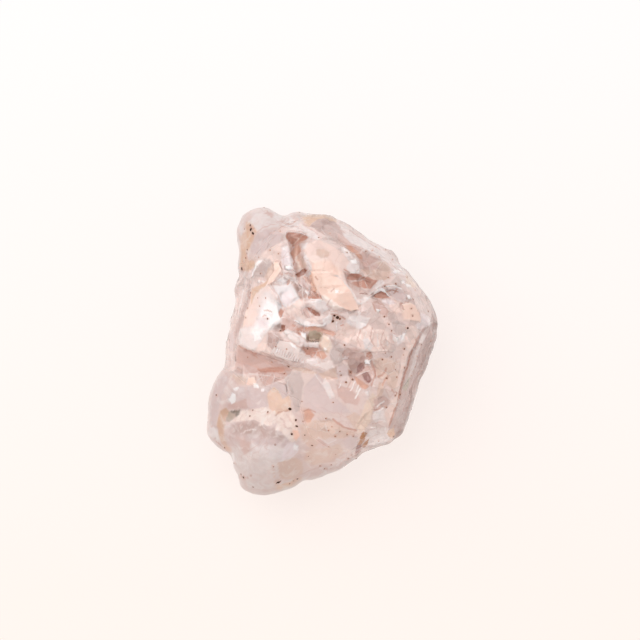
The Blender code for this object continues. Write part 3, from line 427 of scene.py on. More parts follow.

# Cracks, striations and bright edges, the bright edges being painted highlights: the finish, the width in pixels, and
# the points along the line.
STROKES = [
    ("tan", 0.9, [(292, 246), (297, 241), (303, 236)]),
    ("tan", 0.8, [(296, 247), (302, 241)]),
    ("rose", 0.9, [(254, 236), (262, 228), (272, 224), (284, 222)]),
    ("rose", 0.9, [(280, 226), (288, 228), (296, 226), (304, 230)]),
    ("rose", 0.8, [(300, 217), (306, 226), (314, 232), (322, 238)]),
    ("rose", 0.9, [(258, 246), (264, 238), (272, 232), (280, 230)]),
    ("rose", 0.8, [(266, 250), (270, 242), (276, 236)]),
    ("frost", 1.3, [(285, 219), (292, 215), (300, 218)]),
    ("frost", 1.2, [(248, 222), (256, 216), (266, 214)]),
    ("rose", 0.8, [(282, 224), (286, 219), (291, 217), (296, 220), (292, 225)]),
    ("rose", 0.8, [(236, 293), (241, 297), (238, 304), (241, 312)]),
    ("frost", 1.2, [(243, 290), (241, 302), (237, 316)]),
    ("brown", 0.9, [(264, 311), (268, 310.5), (272, 312)]),
    ("brown", 0.8, [(263, 316.5), (265, 315.5), (267, 315.5)]),
    ("white", 1.6, [(256, 333), (262, 331)]),
    ("brown", 1.3, [(294, 256), (294, 264), (296, 269)]),
    ("brown", 1.4, [(298, 277), (299, 283)]),
    ("brown", 1.4, [(303, 276), (306, 279), (309, 283)]),
    ("rose", 1.6, [(281, 275), (290, 274), (296, 277)]),
    ("brown", 1.2, [(289, 280), (288, 285)]),
    ("rose", 1.0, [(272, 285), (279, 297), (283, 307)]),
    ("rose", 1.2, [(284, 309), (289, 317)]),
    ("rose", 1.0, [(294, 284), (300, 295), (303, 300)]),
    ("brown", 1.0, [(310, 288), (312, 292)]),
    ("white", 1.8, [(295, 321), (304, 326), (318, 326), (325, 324)]),
    ("white", 1.6, [(311, 299), (321, 300)]),
    ("brown", 1.6, [(293, 325), (301, 330)]),
    ("brown", 1.8, [(318, 331), (325, 330), (335, 334)]),
    ("brown", 1.2, [(315, 349), (312, 356)]),
    ("brown", 1.0, [(304, 347), (318, 349)]),
    ("rose", 1.2, [(319, 343), (320, 350)]),
    ("brown", 1.2, [(238, 346), (247, 351), (256, 354)]),
    ("brown", 1.0, [(254, 355), (257, 358)]),
    ("rose", 1.4, [(258, 355), (270, 358), (280, 364)]),
    ("brown", 1.6, [(258, 369), (266, 371)]),
    ("rose", 1.2, [(262, 373), (264, 380), (262, 385)]),
    ("brown", 1.2, [(276, 415), (280, 411), (286, 411), (290, 409)]),
    ("rose", 1.2, [(280, 418), (284, 421), (286, 426)]),
    ("rose", 1.0, [(287, 414), (290, 419), (294, 424)]),
    ("rose", 1.0, [(283, 424), (288, 428), (292, 428)]),
    ("frost", 1.0, [(241, 434), (246, 430), (256, 428)]),
    ("frost", 1.0, [(252, 445), (252, 456)]),
    ("frost", 1.0, [(258, 446), (257, 453)]),
    ("rose", 1.2, [(232, 430), (242, 424)]),
    ("frost", 1.0, [(315, 374), (322, 384), (325, 378)]),
    ("frost", 0.9, [(325, 378), (330, 386), (334, 397)]),
    ("brown", 2.0, [(333, 419), (345, 427), (356, 431)]),
    ("brown", 1.0, [(304, 411), (309, 409), (315, 411)]),
    ("frost", 1.2, [(318, 436), (328, 443), (336, 439)]),
    ("frost", 1.6, [(356, 375), (363, 373), (369, 371)]),
    ("frost", 1.0, [(364, 366), (370, 366)]),
    ("brown", 1.2, [(371, 362), (374, 376), (371, 385)]),
    ("brown", 1.4, [(387, 369), (382, 376), (378, 377)]),
    ("brown", 1.6, [(388, 375), (385, 379)]),
    ("rust", 1.6, [(382, 385), (385, 379)]),
    ("white", 1.0, [(354, 381), (350, 390)]),
    ("white", 1.0, [(358, 385), (356, 391)]),
    ("white", 1.4, [(360, 388), (355, 398)]),
    ("white", 0.9, [(342, 380), (339, 387)]),
    ("rose", 1.2, [(351, 379), (347, 388)]),
    ("white", 1.4, [(377, 406), (384, 401)]),
    ("white", 1.6, [(373, 412), (379, 411), (383, 408)]),
    ("brown", 1.0, [(373, 406), (374, 410), (380, 409)]),
    ("white", 1.2, [(371, 427), (376, 428)]),
    ("brown", 1.2, [(392, 390), (397, 393), (395, 396)]),
    ("brown", 1.8, [(418, 336), (413, 347), (407, 366), (401, 386)]),
    ("dark_brown", 1.0, [(413, 347), (406, 368), (401, 386), (397, 402)]),
    ("brown", 1.6, [(401, 386), (396, 405), (389, 425)]),
    ("dark_olive", 1.2, [(404, 386), (408, 380)]),
    ("plum", 1.0, [(430, 330), (422, 348), (416, 366)]),
    ("plum", 1.0, [(418, 372), (410, 392)]),
    ("grey", 1.4, [(434, 333), (427, 358), (419, 380)]),
    ("plum", 1.0, [(408, 396), (402, 414)]),
    ("white", 1.2, [(386, 287), (394, 286), (401, 289)]),
    ("brown", 1.0, [(386, 292), (392, 290), (397, 292)]),
    ("brown", 1.0, [(372, 304), (375, 312)]),
    ("brown", 1.2, [(394, 293), (396, 289)]),
    ("brown", 1.2, [(361, 277), (360, 283)]),
    ("dark_brown", 1.2, [(360, 294), (366, 294)]),
    ("rose", 1.0, [(400, 303), (403, 310)]),
    ("brown", 1.0, [(315, 277), (318, 280)]),
    ("rose", 1.0, [(331, 292), (334, 289)]),
    ("brown", 1.2, [(344, 270), (349, 273)]),
    ("rose", 1.1, [(249, 296), (246, 308), (243, 318)]),
    ("brown", 1.0, [(284, 224), (291, 225)]),
    ("rose", 1.2, [(289, 219), (285, 224)]),
    ("rose", 1.6, [(290, 231), (300, 231), (306, 234)]),
    ("brown", 1.0, [(293, 222), (297, 220)]),
    ("rose", 1.0, [(350, 231), (358, 236), (366, 241)]),
    ("rose", 1.0, [(366, 241), (374, 246), (380, 250)]),
    ("rose", 1.0, [(340, 229), (345, 233)]),
    ("rose", 1.0, [(390, 262), (396, 268), (402, 272)]),
    ("rose", 1.2, [(226, 374), (233, 380), (238, 385)]),
    ("brown", 1.0, [(215, 441), (222, 446), (229, 452)]),
    ("rose", 1.2, [(211, 440), (217, 438)]),
    ("rose", 1.0, [(210, 427), (216, 426), (219, 430)]),
    ("white", 1.8, [(233, 453), (234, 460), (233, 466)]),
    ("brown", 1.0, [(240, 476), (247, 478), (252, 475)]),
    ("rose", 1.0, [(300, 475), (308, 472), (316, 468)]),
    ("rose", 1.0, [(318, 468), (321, 466)]),
    ("brown", 1.0, [(323, 469), (328, 470)]),
    ("rose", 1.2, [(330, 470), (345, 460), (356, 455)]),
    ("frost", 2.0, [(320, 468), (326, 472)]),
    ("frost", 1.4, [(336, 458), (342, 460), (338, 466)]),
    ("rose", 1.4, [(355, 456), (362, 450)]),
    ("tan", 1.2, [(273, 466), (276, 486)]),
    ("rose", 1.2, [(372, 424), (382, 422)]),
    ("brown", 1.2, [(331, 314), (337, 315), (344, 319)]),
    ("brown", 1.2, [(333, 318), (331, 322)]),
    ("white", 1.0, [(336, 322), (337, 330)]),
    ("brown", 1.0, [(340, 326), (343, 325)]),
    ("rose", 1.0, [(330, 300), (326, 306), (330, 312)]),
    ("rose", 1.0, [(360, 330), (357, 340), (360, 347)]),
    ("rose", 1.0, [(372, 328), (370, 338), (374, 346)]),
    ("rose", 1.0, [(383, 332), (380, 342), (384, 350)]),
    ("frost", 1.2, [(366, 332), (363, 342)]),
    ("frost", 1.2, [(377, 334), (378, 346)]),
    ("frost", 1.0, [(388, 336), (387, 346)]),
    ("dark_brown", 1.8, [(250, 225), (251, 229), (253, 234)]),
    ("dark_brown", 1.0, [(251, 230), (254, 229)]),
]
# Pale ripples along the lower edge of the ledge: how many, and how far apart in pixels.
RIPPLES = 13
RIPPLE_STEP = 2.4
STROKES += [
    ("blush", 0.8, [(277 + RIPPLE_STEP * number, 347 + number), (274.5 + RIPPLE_STEP * number, 352.5 + number)])
    for number in range(RIPPLES)
]

# Dark grains: pixel across and down, and radius in pixels.
SPECKS = [
    (250, 226, 1.3), (251, 230, 2.4), (253, 234, 1.8), (242, 269, 2.0), (244, 270, 0.9), (245, 229, 0.7),
    (280, 232, 0.8), (247, 250, 0.8), (270, 251, 0.9), (279, 254, 0.7), (259, 258, 0.8), (246, 258, 0.8),
    (243, 262, 0.9), (261, 274, 0.8), (251, 293, 1.1), (250, 298, 0.6), (266, 298, 0.7), (260, 306, 0.7),
    (248, 308, 0.8), (246, 318, 0.9), (268, 319, 0.9), (319, 238, 1.0), (330, 234, 0.8), (347, 253, 0.8),
    (366, 252, 0.9), (372, 251, 0.9), (385, 250, 0.8), (358, 257, 0.8), (379, 257, 0.7), (393, 260, 0.7),
    (376, 247, 0.7), (407, 277, 0.9), (395, 284, 1.0), (384, 286, 1.0), (388, 278, 0.7), (415, 290, 0.8),
    (428, 311, 0.9), (411, 309, 0.7), (412, 316, 0.9), (384, 317, 1.0), (388, 324, 0.9), (401, 303, 0.8),
    (334, 316, 1.5), (337, 318, 1.9), (333, 321, 1.3), (340, 319, 1.0), (407, 328, 1.3), (404, 349, 1.1),
    (344, 345, 0.9), (382, 359, 1.0), (391, 357, 0.9), (404, 367, 1.0), (385, 353, 0.6), (403, 355, 0.6),
    (395, 369, 0.8), (396, 377, 0.8), (386, 378, 1.0), (341, 375, 1.0), (350, 372, 1.1), (352, 379, 1.0),
    (346, 382, 1.0), (391, 331, 0.8), (421, 345, 1.2), (417, 357, 0.9), (431, 341, 0.9), (425, 356, 0.7),
    (420, 374, 0.7), (411, 376, 0.7), (415, 367, 0.8), (400, 394, 1.0), (395, 395, 1.0), (386, 407, 1.0),
    (333, 402, 0.7), (332, 426, 0.7), (328, 430, 0.8), (340, 431, 0.8), (335, 436, 1.0), (347, 434, 0.9),
    (353, 436, 1.0), (394, 426, 0.8), (393, 437, 1.3), (379, 441, 0.7), (364, 447, 1.1), (216, 395, 1.0),
    (272, 362, 0.8), (285, 373, 1.0), (289, 366, 1.2), (253, 410, 0.9), (250, 416, 0.9), (268, 412, 1.0),
    (290, 408, 1.7), (296, 420, 1.3), (297, 426, 1.3), (292, 434, 1.3), (225, 448, 1.0), (234, 463, 0.9),
    (241, 474, 1.0), (244, 478, 1.4), (273, 466, 0.9), (278, 482, 1.8), (280, 481, 0.8), (276, 483, 0.9),
    (253, 487, 0.8), (290, 484, 0.8), (294, 481, 0.8), (297, 479, 1.0), (312, 445, 1.1), (302, 401, 0.7),
    (303, 421, 0.7), (281, 331, 1.4), (276, 346, 0.9), (287, 349, 0.7), (320, 466, 0.8), (331, 465, 0.8),
    (325, 469, 0.9), (348, 459, 1.0), (351, 455, 0.9), (308, 456, 0.8), (335, 454, 0.6), (326, 418, 0.8),
    (305, 435, 0.7), (329, 446, 0.6), (248, 357, 0.8), (340, 371, 0.6), (308, 349, 1.0),
]

# Relief of the patches and strokes: how much a patch leans, the share of the relief under it that it takes away,
# where its edge starts and is whole, the heights of pale and of darker strokes, where a stroke's edge starts and
# ends in shares of its half width, and the margin of the raster that is worked on round each.
PATCH_LEAN = 0.14
COVERED_SHARE = 0.4
PATCH_EDGE = (-0.03, 0.05)
PALE_FINISHES = ("white", "frost")
PALE_STROKE_HEIGHT = 0.03
DARK_STROKE_HEIGHT = -0.04
RELIEF_EDGE = (0.6, 1.4)
RELIEF_MARGIN = 0.2
RELIEF_SEED = 5

# Radii of the blurs: for the share of the plan that is well inside the outline, the mean height, the etched areas,
# the finished upper side, the lower side near the rim, and the heights that the ways down are measured on.
INNER_BLUR = 0.4
LEVEL_BLUR = 0.7
ETCHED_BLUR = 0.3
CRISP_BLUR = 0.025
LOWER_BLUR = 0.3
WAY_BLUR = 0.6
# How many raster steps the solid's heights are carried outwards past its outline.
SPREAD_STEPS = 24

# Where each fade starts and is whole: the inner part, etched, shallow and smooth areas by the distance from their
# edges, flat parts by how far their normals point up, the clearance from the resting face, and ridges and hollows
# by their bend.
INNER_FADE = (0.5, 0.95)
ETCHED_FADE = (-0.4, 0.4)
SHALLOW_FADE = (-0.3, 0.2)
SMOOTH_FADE = (-0.15, 0.15)
FLAT_FADE = (0.15, 0.6)
RESTING_FADE = (0.02, 0.35)
BEND_FADE = (0.03, 0.16)
# The same by the count of the way down: where the upper side's finishes end, the pale edge of painted rim light
# starts and ends, and steep walls end.
UPPER_END = (1.0, 1.9)
EDGE_START = (0.965, 1.0)
EDGE_END = (1.15, 1.5)
STEEP_END = (1.1, 1.6)

# Noises, each as its size, its spacing and its seed: the outline's unevenness, the shifts of the painted places
# across and along the stone, the soft waves of the etched parts, and the fine grain of the whole stone.
OUTLINE_NOISE = ((0.03, 0.5, 1), (0.02, 0.25, 2))
SHIFT_ACROSS = ((0.04, 0.5, 31), (0.035, 0.2, 41))
SHIFT_ALONG = ((0.04, 0.5, 37), (0.035, 0.2, 43))
WAVES = ((0.05, 0.9, 17), (0.02, 0.35, 19))
FINE_GRAIN = ((0.008, 0.16, 23),)
# How far the etched parts stand out past the outline.
ETCHED_SWELL = 0.06
# How much of the waves the cleaved parts have too.
CLEAVED_WAVES = 0.4

# Shells chipped off the cleaved parts: the spacing, tilt and seed of each layer, and how much the shells' leans
# and depths differ.
SHELLS = ((1.3, 0.09, 11), (0.55, 0.08, 13))
SHELL_LEAN = 1.6
SHELL_DEPTHS = 0.3
# How much of the chips calm parts lose, and the share that upright walls keep.
CALM_LOSS = 0.75
WALL_SHARE = 0.5
# How much of the ridge tint's painted highlight and the hollow tint's painted shade steep walls lose.
STEEP_LOSS = 0.6
# Patterns are stretched upright by the inverse of this, so that steep walls look like the rest from above.
UPRIGHT_SHARE = 0.4
# How the surface is evened out before the finer forms are laid over it: the share of the way to the neighbours'
# mean everywhere, the further share where it is etched, and the number of rounds.
EVENING = ((0.15, 0.7, 2), (0.0, 0.8, 7))

# Painting: the margin in which points are looked for round a patch and a stroke, the softness of a patch's crisp
# side and how much softer its other side is, how far off its middle that side is whole, where a stroke's edge
# starts and ends in shares of its half width, and how much a stroke covers.
PATCH_MARGIN = 0.5
STROKE_MARGIN = 0.3
CRISP_SIDE = 0.25
SOFTER_SIDE = 0.9
SOFTER_FROM = 0.5
STROKE_EDGE = (0.5, 1.6)
STROKE_COVER = 0.8
TONE_SEED = 7
# A grain's rusty halo: how far it reaches in radii of the grain, the share of that which is whole, and how much
# it covers.
HALO = 2.2
HALO_CORE = 0.3
HALO_COVER = 0.5

# Finishes that noise scatters over the sides that the photograph doesn't show: where each starts and is whole,
# on the noise of -1 to 1, and the noise's spacing.
SCATTER = [
    ("pale_peach", 0.15, 0.3, 2.6),
    ("frost", 0.30, 0.40, 1.9),
    ("lavender", 0.30, 0.45, 2.9),
    ("rose", 0.42, 0.52, 1.7),
    ("peach", 0.50, 0.60, 1.5),
    ("brown", 0.68, 0.74, 1.1),
]
SCATTER_SEED = 60

# Grains are this much larger than the specks that they show as, because the stone covers their rims.
GRAIN_SHARE = 1.05
# Grains on the sides that the photograph doesn't show: how many, the range of their radii in pixels, and the least
# height of their middles.
HIDDEN_GRAINS = 70
HIDDEN_RADII = (0.5, 1.1)
HIDDEN_HEIGHT = 0.5
# The way counts where grains of the upper side end and hidden ones start.
GRAINS_ABOVE = 1.2
GRAINS_BELOW = 1.1
# A grain's shape: the direction that one side stays square to, how far its two sides are stretched, its height, how
# deep its middle is sunk, its quads along a cube's edge, and the radii in pixels where it starts to darken and is
# dark.
GRAIN_ACROSS = (0.3, 0.9, 0.3)
GRAIN_STRETCH = (0.7, 1.25)
GRAIN_HEIGHT = 0.4
GRAIN_SINK = 0.1
GRAIN_GRID = 2
GRAIN_DARK = (0.8, 1.6)

# Values of the crystal, the dark grains and the floor that are the same all over them.
CRYSTAL = {
    "Metallic": 0.0, "IOR": 1.58, "Transmission Weight": 0.30, "Subsurface Weight": 0.25,
    "Subsurface Radius": (1.0, 0.7, 0.6), "Subsurface Scale": 0.0004,
}
DARK_GRAIN = {"Roughness": 0.55, "Specular IOR Level": 0.15}
FLOOR = {"Base Color": (0.20, 0.19, 0.18, 1), "Roughness": 1.0, "Specular IOR Level": 0.0, "Emission Strength": 0.79}

# How rough the cleaved and the etched parts are.
POLISH = (0.16, 0.34)
# What calm and steep parts keep of the small facets.
CALM_FACETS = 0.15
STEEP_FACETS = 0.4
# The facets' random tints: the range of the two layers' sum, how dark and how pale that makes the stone, and how
# much a patch's own tone adds.
TINT_SUM = (0.3, 1.7)
FACET_TINTS = (-0.13, 0.11)
TONE_STRENGTH = 0.16
# The finer facets' relief as a share of the coarser ones', and how strongly both lean.
FINE_RELIEF = 0.8
BUMP_DISTANCE = 0.45

# Tints over the painted colour: the strength and the colour of each.
PALE_EDGE = (0.90, 0.84, 0.82)
TINTS = {
    "pinker vein": (0.30, (0.68, 0.49, 0.45)),
    "paler vein": (0.35, (0.90, 0.83, 0.81)),
    "pale border": (0.4, PALE_EDGE),
    "dark border": (0.24, (0.55, 0.33, 0.27)),
    "fine pale border": (0.22, PALE_EDGE),
    "fine dark border": (0.12, (0.60, 0.38, 0.32)),
    # Ridge: a painted highlight on convex edges, partly their own frosted paleness.
    "ridge": (0.3, PALE_EDGE),
    # Hollow: painted shade in creases and clefts.
    "hollow": (0.45, (0.66, 0.38, 0.30)),
    # Rim: painted light along the thin rim, as light showing through the edge.
    "rim": (0.45, PALE_EDGE),
    "crack": (0.3, (0.60, 0.36, 0.30)),
    "pepper": (0.6, (0.30, 0.11, 0.06)),
    "streak": (0.2, (0.60, 0.45, 0.41)),
}
# Where on their noises the veins, the pale and the dark borders, the cracks and the streaks start and are whole.
PINKER_VEINS = (0.50, 0.36)
PALER_VEINS = (0.52, 0.66)
PALE_SHOWN = (0.44, 0.56)
DARK_SHOWN = (0.50, 0.40)
CRACKS_SHOWN = (0.45, 0.62)
STREAKS_SHOWN = (0.38, 0.62)
# The direction in which the prism face is streaked, and how much the noise is squeezed along a streak.
PRISM_RUN = (-0.22, -0.976, 0.0)
SQUEEZE = -0.93
# The middle of a random colour, about which it leans.
MIDDLE_COLOUR = (0.5, 0.5, 0.5)
# The grains' colour where they are thick, the two colours where they are thin, and where on the noise those change.
THICK_GRAIN = (0.045, 0.016, 0.006)
THIN_GRAIN = ((0.16, 0.065, 0.035), (0.34, 0.15, 0.09))
THIN_CHANGE = (0.4, 0.62)

# The floor's side, its glow at the lower and the upper end of the photograph, and where along it the two lie, in
# metres.
FLOOR_SIDE = 2.0
FLOOR_NEAR = (1.0, 0.893, 0.842)
FLOOR_FAR = (1.0, 0.955, 0.958)
FLOOR_ENDS = (-0.016, 0.022)

# The camera's height over the floor, the height of the stone's silhouette, and the sensor's width.
CAMERA_HEIGHT = 600.0
SILHOUETTE_HEIGHT = 4.8
SENSOR = 36.0
# The nearest and the farthest that the camera sees, in metres.
CAMERA_RANGE = (0.01, 10)

# The lamp's size and place in metres and its power, and the colour and strength of the surround.
LAMP_SIZE = 0.32
LAMP_PLACE = (-0.13, 0.12, 0.25)
LAMP_POWER = 0.5
SURROUND = {"Color": (1.0, 0.99, 0.98, 1), "Strength": 0.88}

rng = np.random.default_rng(SEED)
HASH_SIZE = 8192
HASH_TABLE = rng.random((HASH_SIZE, 4))
HASH_PRIMES = (73856093, 19349663, 83492791, 39916801)


def over_plan(pixels):
    """Points of the photograph as places over the stone, in millimetres."""
    return [((px - ORIGIN_PIXEL[0]) * PIXEL, (ORIGIN_PIXEL[1] - py) * PIXEL) for px, py in pixels]


def smooth_step(low, high, value):
    """0 below low, 1 above high, and an S-shaped cubic between."""
    share = np.clip((value - low) / (high - low), 0, 1)
    return share * share * (3 - 2 * share)


def from_line(line, x, y):
    """Distance of each x and y from the nearest stretch of the line."""
    nearest = np.full(np.shape(x), np.inf)
    for (ax, ay), (bx, by) in zip(line, line[1:]):
        run, rise = bx - ax, by - ay
        share = np.clip(((x - ax) * run + (y - ay) * rise) / (run * run + rise * rise), 0, 1)
        nearest = np.minimum(nearest, np.hypot(x - ax - share * run, y - ay - share * rise))
    return nearest


def depth_inside(shape, x, y):
    """Signed distance of each x and y from the closed shape's edge: above zero inside it."""
    inside = np.zeros(np.shape(x), bool)
    for (ax, ay), (bx, by) in zip(shape, shape[1:] + shape[:1]):
        if by != ay:
            crossed = (ay > y) != (by > y)
            inside ^= crossed & (x < ax + (bx - ax) * (y - ay) / (by - ay))
    edge = from_line(shape + shape[:1], x, y)
    return np.where(inside, edge, -edge)


def hashed(cells, seed):
    """Four random numbers of 0 to 1 for each lattice cell, from a hash of its three indices."""
    mixed = seed * HASH_PRIMES[3]
    for axis in range(3):
        mixed = mixed ^ (cells[..., axis] * HASH_PRIMES[axis])
    return HASH_TABLE[np.mod(mixed, HASH_SIZE)]


def grain(points, spacing, seed):
    """Smooth noise of -1 to 1: random values on a cubic lattice, blended by an S curve between its corners."""
    scaled = points / spacing
    cells = np.floor(scaled).astype(np.int64)
    shares = smooth_step(0, 1, scaled - cells)
    total = np.zeros(len(points))
    for corner in np.ndindex(2, 2, 2):
        weight = np.prod(np.where(corner, shares, 1 - shares), axis=1)
        total += weight * hashed(cells + corner, seed)[:, 0]
    return 2 * total - 1


def layered(points, noises):
    """The sum of several noises, each given as its size, its spacing and its seed."""
    return sum(size * grain(points, spacing, seed) for size, spacing, seed in noises)


def chipped(points, spacing, tilt, seed):
    """Shallow shells with sharp ridges between them, in millimetres above the surface.

    Each cell of a jittered lattice has a tilted paraboloid round its own middle, and the lowest one counts.
    """
    scaled = points / spacing
    cells = np.floor(scaled).astype(np.int64)
    lowest = np.full(len(points), np.inf)
    for offset in np.ndindex(3, 3, 3):
        neighbour = cells + np.array(offset) - 1
        draws = hashed(neighbour, seed)
        leans = hashed(neighbour, seed + 1)[:, :3] * 2 - 1
        away = scaled - neighbour - draws[:, :3]
        shell = (away * away).sum(axis=1) + SHELL_LEAN * (away * leans).sum(axis=1) + SHELL_DEPTHS * draws[:, 3]
        lowest = np.minimum(lowest, shell)
    return lowest * spacing * tilt


def plan_axes():
    """The raster's places to the right and along the stone."""
    return [np.arange(-reach, reach + PLAN_STEP, PLAN_STEP) for reach in PLAN_REACH]


def cad_heights(across, along):
    """Heights of the CAD stone's upper and lower sides over each raster point.

    They are the highest and the lowest of the planes of the triangles that hold the point, each plane taken from
    its corners' shares. Outside the outline they are left unknown.
    """
    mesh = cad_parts["morganite_crystal"].data
    mesh.calc_loop_triangles()
    corners = np.empty(len(mesh.vertices) * 3)
    mesh.vertices.foreach_get("co", corners)
    triangles = np.empty(len(mesh.loop_triangles) * 3, np.int32)
    mesh.loop_triangles.foreach_get("vertices", triangles)
    top = np.full((len(along), len(across)), np.nan)
    bottom = top.copy()
    for (ax, ay, az), (bx, by, bz), (cx, cy, cz) in (corners.reshape(-1, 3) / MM)[triangles.reshape(-1, 3)]:
        area = (bx - ax) * (cy - ay) - (cx - ax) * (by - ay)
        if abs(area) < RASTER_SLACK ** 2:
            continue
        left, right = np.searchsorted(across, (min(ax, bx, cx) - PLAN_STEP, max(ax, bx, cx) + PLAN_STEP))
        low, high = np.searchsorted(along, (min(ay, by, cy) - PLAN_STEP, max(ay, by, cy) + PLAN_STEP))
        x, y = across[None, left:right] - ax, along[low:high, None] - ay
        share_b = (x * (cy - ay) - (cx - ax) * y) / area
        share_c = ((bx - ax) * y - x * (by - ay)) / area
        held = (share_b >= -RASTER_SLACK) & (share_c >= -RASTER_SLACK) & (share_b + share_c <= 1 + RASTER_SLACK)
        plane = az + share_b * (bz - az) + share_c * (cz - az)
        window = (slice(low, high), slice(left, right))
        top[window] = np.where(held, np.fmax(top[window], plane), top[window])
        bottom[window] = np.where(held, np.fmin(bottom[window], plane), bottom[window])
    return top, bottom


def spread_outwards(heights, steps):
    """Fills unknown raster points beside known ones with the mean of their known neighbours, step by step."""
    for _ in range(steps):
        known = np.isfinite(heights)
        values = np.where(known, heights, 0.0)
        total, count = np.zeros_like(values), np.zeros_like(values)
        for shift, axis in ((1, 0), (-1, 0), (1, 1), (-1, 1)):
            total += np.roll(values, shift, axis)
            count += np.roll(known, shift, axis)
        heights = np.where(known, heights, np.where(count > 0, total / np.maximum(count, 1), np.nan))
    return np.where(np.isfinite(heights), heights, np.nanmin(heights))


def blurred(raster, radius):
    """The raster under a bell-shaped blur whose standard deviation is radius: its spectrum times a bell curve."""
    rows = np.fft.fftfreq(raster.shape[0], PLAN_STEP)[:, None]
    columns = np.fft.rfftfreq(raster.shape[1], PLAN_STEP)[None, :]
    bell = np.exp(-2 * (math.pi * radius) ** 2 * (rows ** 2 + columns ** 2))
    return np.fft.irfft2(np.fft.rfft2(raster) * bell, raster.shape)


def sampled(raster, x, y):
    """The raster's value at each x and y, blended straight between its four nearest points."""
    column = np.clip((x + PLAN_REACH[0]) / PLAN_STEP, 0, raster.shape[1] - 2)
    row = np.clip((y + PLAN_REACH[1]) / PLAN_STEP, 0, raster.shape[0] - 2)
    left, low = column.astype(int), row.astype(int)
    right_share, high_share = column - left, row - low
    near = raster[low, left] * (1 - right_share) + raster[low, left + 1] * right_share
    far = raster[low + 1, left] * (1 - right_share) + raster[low + 1, left + 1] * right_share
    return near * (1 - high_share) + far * high_share


def raster_round(places, across, along):
    """The raster's rows and columns round the places, and the points there to the right and along the stone."""
    low_x, low_y = np.min(places, axis=0) - RELIEF_MARGIN
    high_x, high_y = np.max(places, axis=0) + RELIEF_MARGIN
    rows = slice(*np.searchsorted(along, (low_y, high_y)))
    columns = slice(*np.searchsorted(across, (low_x, high_x)))
    return (rows, columns), np.meshgrid(across[columns], along[rows])


def patch_leans(seed):
    """Two random numbers of -1 to 1 for each patch: how much it leans across and along the stone."""
    return hashed(np.arange(3 * len(PATCHES)).reshape(-1, 3), seed)[:, :2] * 2 - 1


def relief(across, along):
    """Steps and grooves of the patches and strokes over the upper side, in millimetres.

    A patch stands off by its finish's height and leans a little, at random, about its own middle. A pale stroke
    is a low ridge and any other stroke is a groove.
    """
    raised = np.zeros((len(along), len(across)))
    for (finish, _, pixels), (lean_x, lean_y) in zip(PATCHES, patch_leans(RELIEF_SEED)):
        shape = over_plan(pixels)
        window, (x, y) = raster_round(shape, across, along)
        (low_x, low_y), (high_x, high_y) = np.min(shape, axis=0), np.max(shape, axis=0)
        extent = max(high_x - low_x, high_y - low_y)
        away_x, away_y = (x - (low_x + high_x) / 2) / extent, (y - (low_y + high_y) / 2) / extent
        slab = FINISHES[finish][1] + PATCH_LEAN * (lean_x * away_x + lean_y * away_y)
        held = smooth_step(*PATCH_EDGE, depth_inside(shape, x, y))
        raised[window] += held * (slab - COVERED_SHARE * raised[window])
    for finish, width, pixels in STROKES:
        line = over_plan(pixels)
        window, (x, y) = raster_round(line, across, along)
        start, end = [width * PIXEL / 2 * share for share in RELIEF_EDGE]
        held = 1 - smooth_step(start, end, from_line(line, x, y))
        raised[window] += held * (PALE_STROKE_HEIGHT if finish in PALE_FINISHES else DARK_STROKE_HEIGHT)
    return raised


def outline_radius(around):
    """How far the outline is from the origin at each angle: where the ray meets the outline's edges."""
    run, rise = np.cos(around), np.sin(around)
    reach = np.zeros_like(around)
    outline = over_plan(OUTLINE)
    for (ax, ay), (bx, by) in zip(outline, outline[1:] + outline[:1]):
        across = run * (by - ay) - rise * (bx - ax)
        across = np.where(np.abs(across) < NEARLY_NOTHING, np.inf, across)
        along = (ax * (by - ay) - ay * (bx - ax)) / across
        share = (ax * rise - ay * run) / across
        meets = (share >= -RASTER_SLACK) & (share <= 1 + RASTER_SLACK) & (along > 0)
        reach = np.maximum(reach, np.where(meets, along, 0))
    return reach


def ball_directions(grid):
    """Unit directions of a cube's grid points, spread evenly by angle, and the quads between them.

    Points on the cube's edges are merged, so the ball is closed.
    """
    steps = np.tan(np.linspace(-math.pi / 4, math.pi / 4, grid + 1))
    across, along = np.meshgrid(steps, steps)
    ones = np.ones_like(across)
    sides = [
        (across, along, ones), (-across, along, -ones),
        (ones, across, along), (-ones, -across, along),
        (-across, ones, along), (across, -ones, along),
    ]
    points = np.concatenate([np.stack(side, axis=-1).reshape(-1, 3) for side in sides])
    points /= np.linalg.norm(points, axis=1)[:, None]
    corner = np.arange(grid * (grid + 1)).reshape(grid, grid + 1)[:, :-1].ravel()
    quad = np.stack([corner, corner + 1, corner + grid + 2, corner + grid + 1], axis=1)
    quads = np.concatenate([quad + side * (grid + 1) ** 2 for side in range(len(sides))])
    _, first, merged = np.unique(np.round(points, MERGED_DIGITS), axis=0, return_index=True, return_inverse=True)
    return points[first], merged.ravel()[quads]


def ways_down(upper, lower, angles, rim_reach):
    """For each angle round the stone, the way from the top to the bottom, evened out by its length.

    A way is counted 0 to 1 across the upper side, 1 to 2 down the rim and 2 to 3 back across the lower side. The
    table holds the count at equal shares of the whole length, with the upper side stretched.
    """
    share = np.linspace(0, 1, WAY_STEPS)
    reach = share[None, :] * rim_reach[:, None]
    x, y = reach * np.cos(angles)[:, None], reach * np.sin(angles)[:, None]
    top, bottom = sampled(upper, x, y), sampled(lower, x, y)
    drop = np.maximum(top[:, -1:] - bottom[:, -1:], PLAN_STEP)
    steps = [
        np.hypot(np.diff(reach), np.diff(top)) * UPPER_SHARE,
        np.repeat(drop / (WAY_STEPS - 1), WAY_STEPS - 1, axis=1),
        np.hypot(np.diff(reach), np.diff(bottom))[:, ::-1],
    ]
    lengths = np.cumsum(np.concatenate(steps, axis=1), axis=1)
    lengths = np.concatenate([np.zeros((ROUND_STEPS, 1)), lengths], axis=1)
    counts = np.concatenate([share, 1 + share[1:], 2 + share[1:]])
    return np.array([np.interp(share, line / line[-1], counts) for line in lengths])


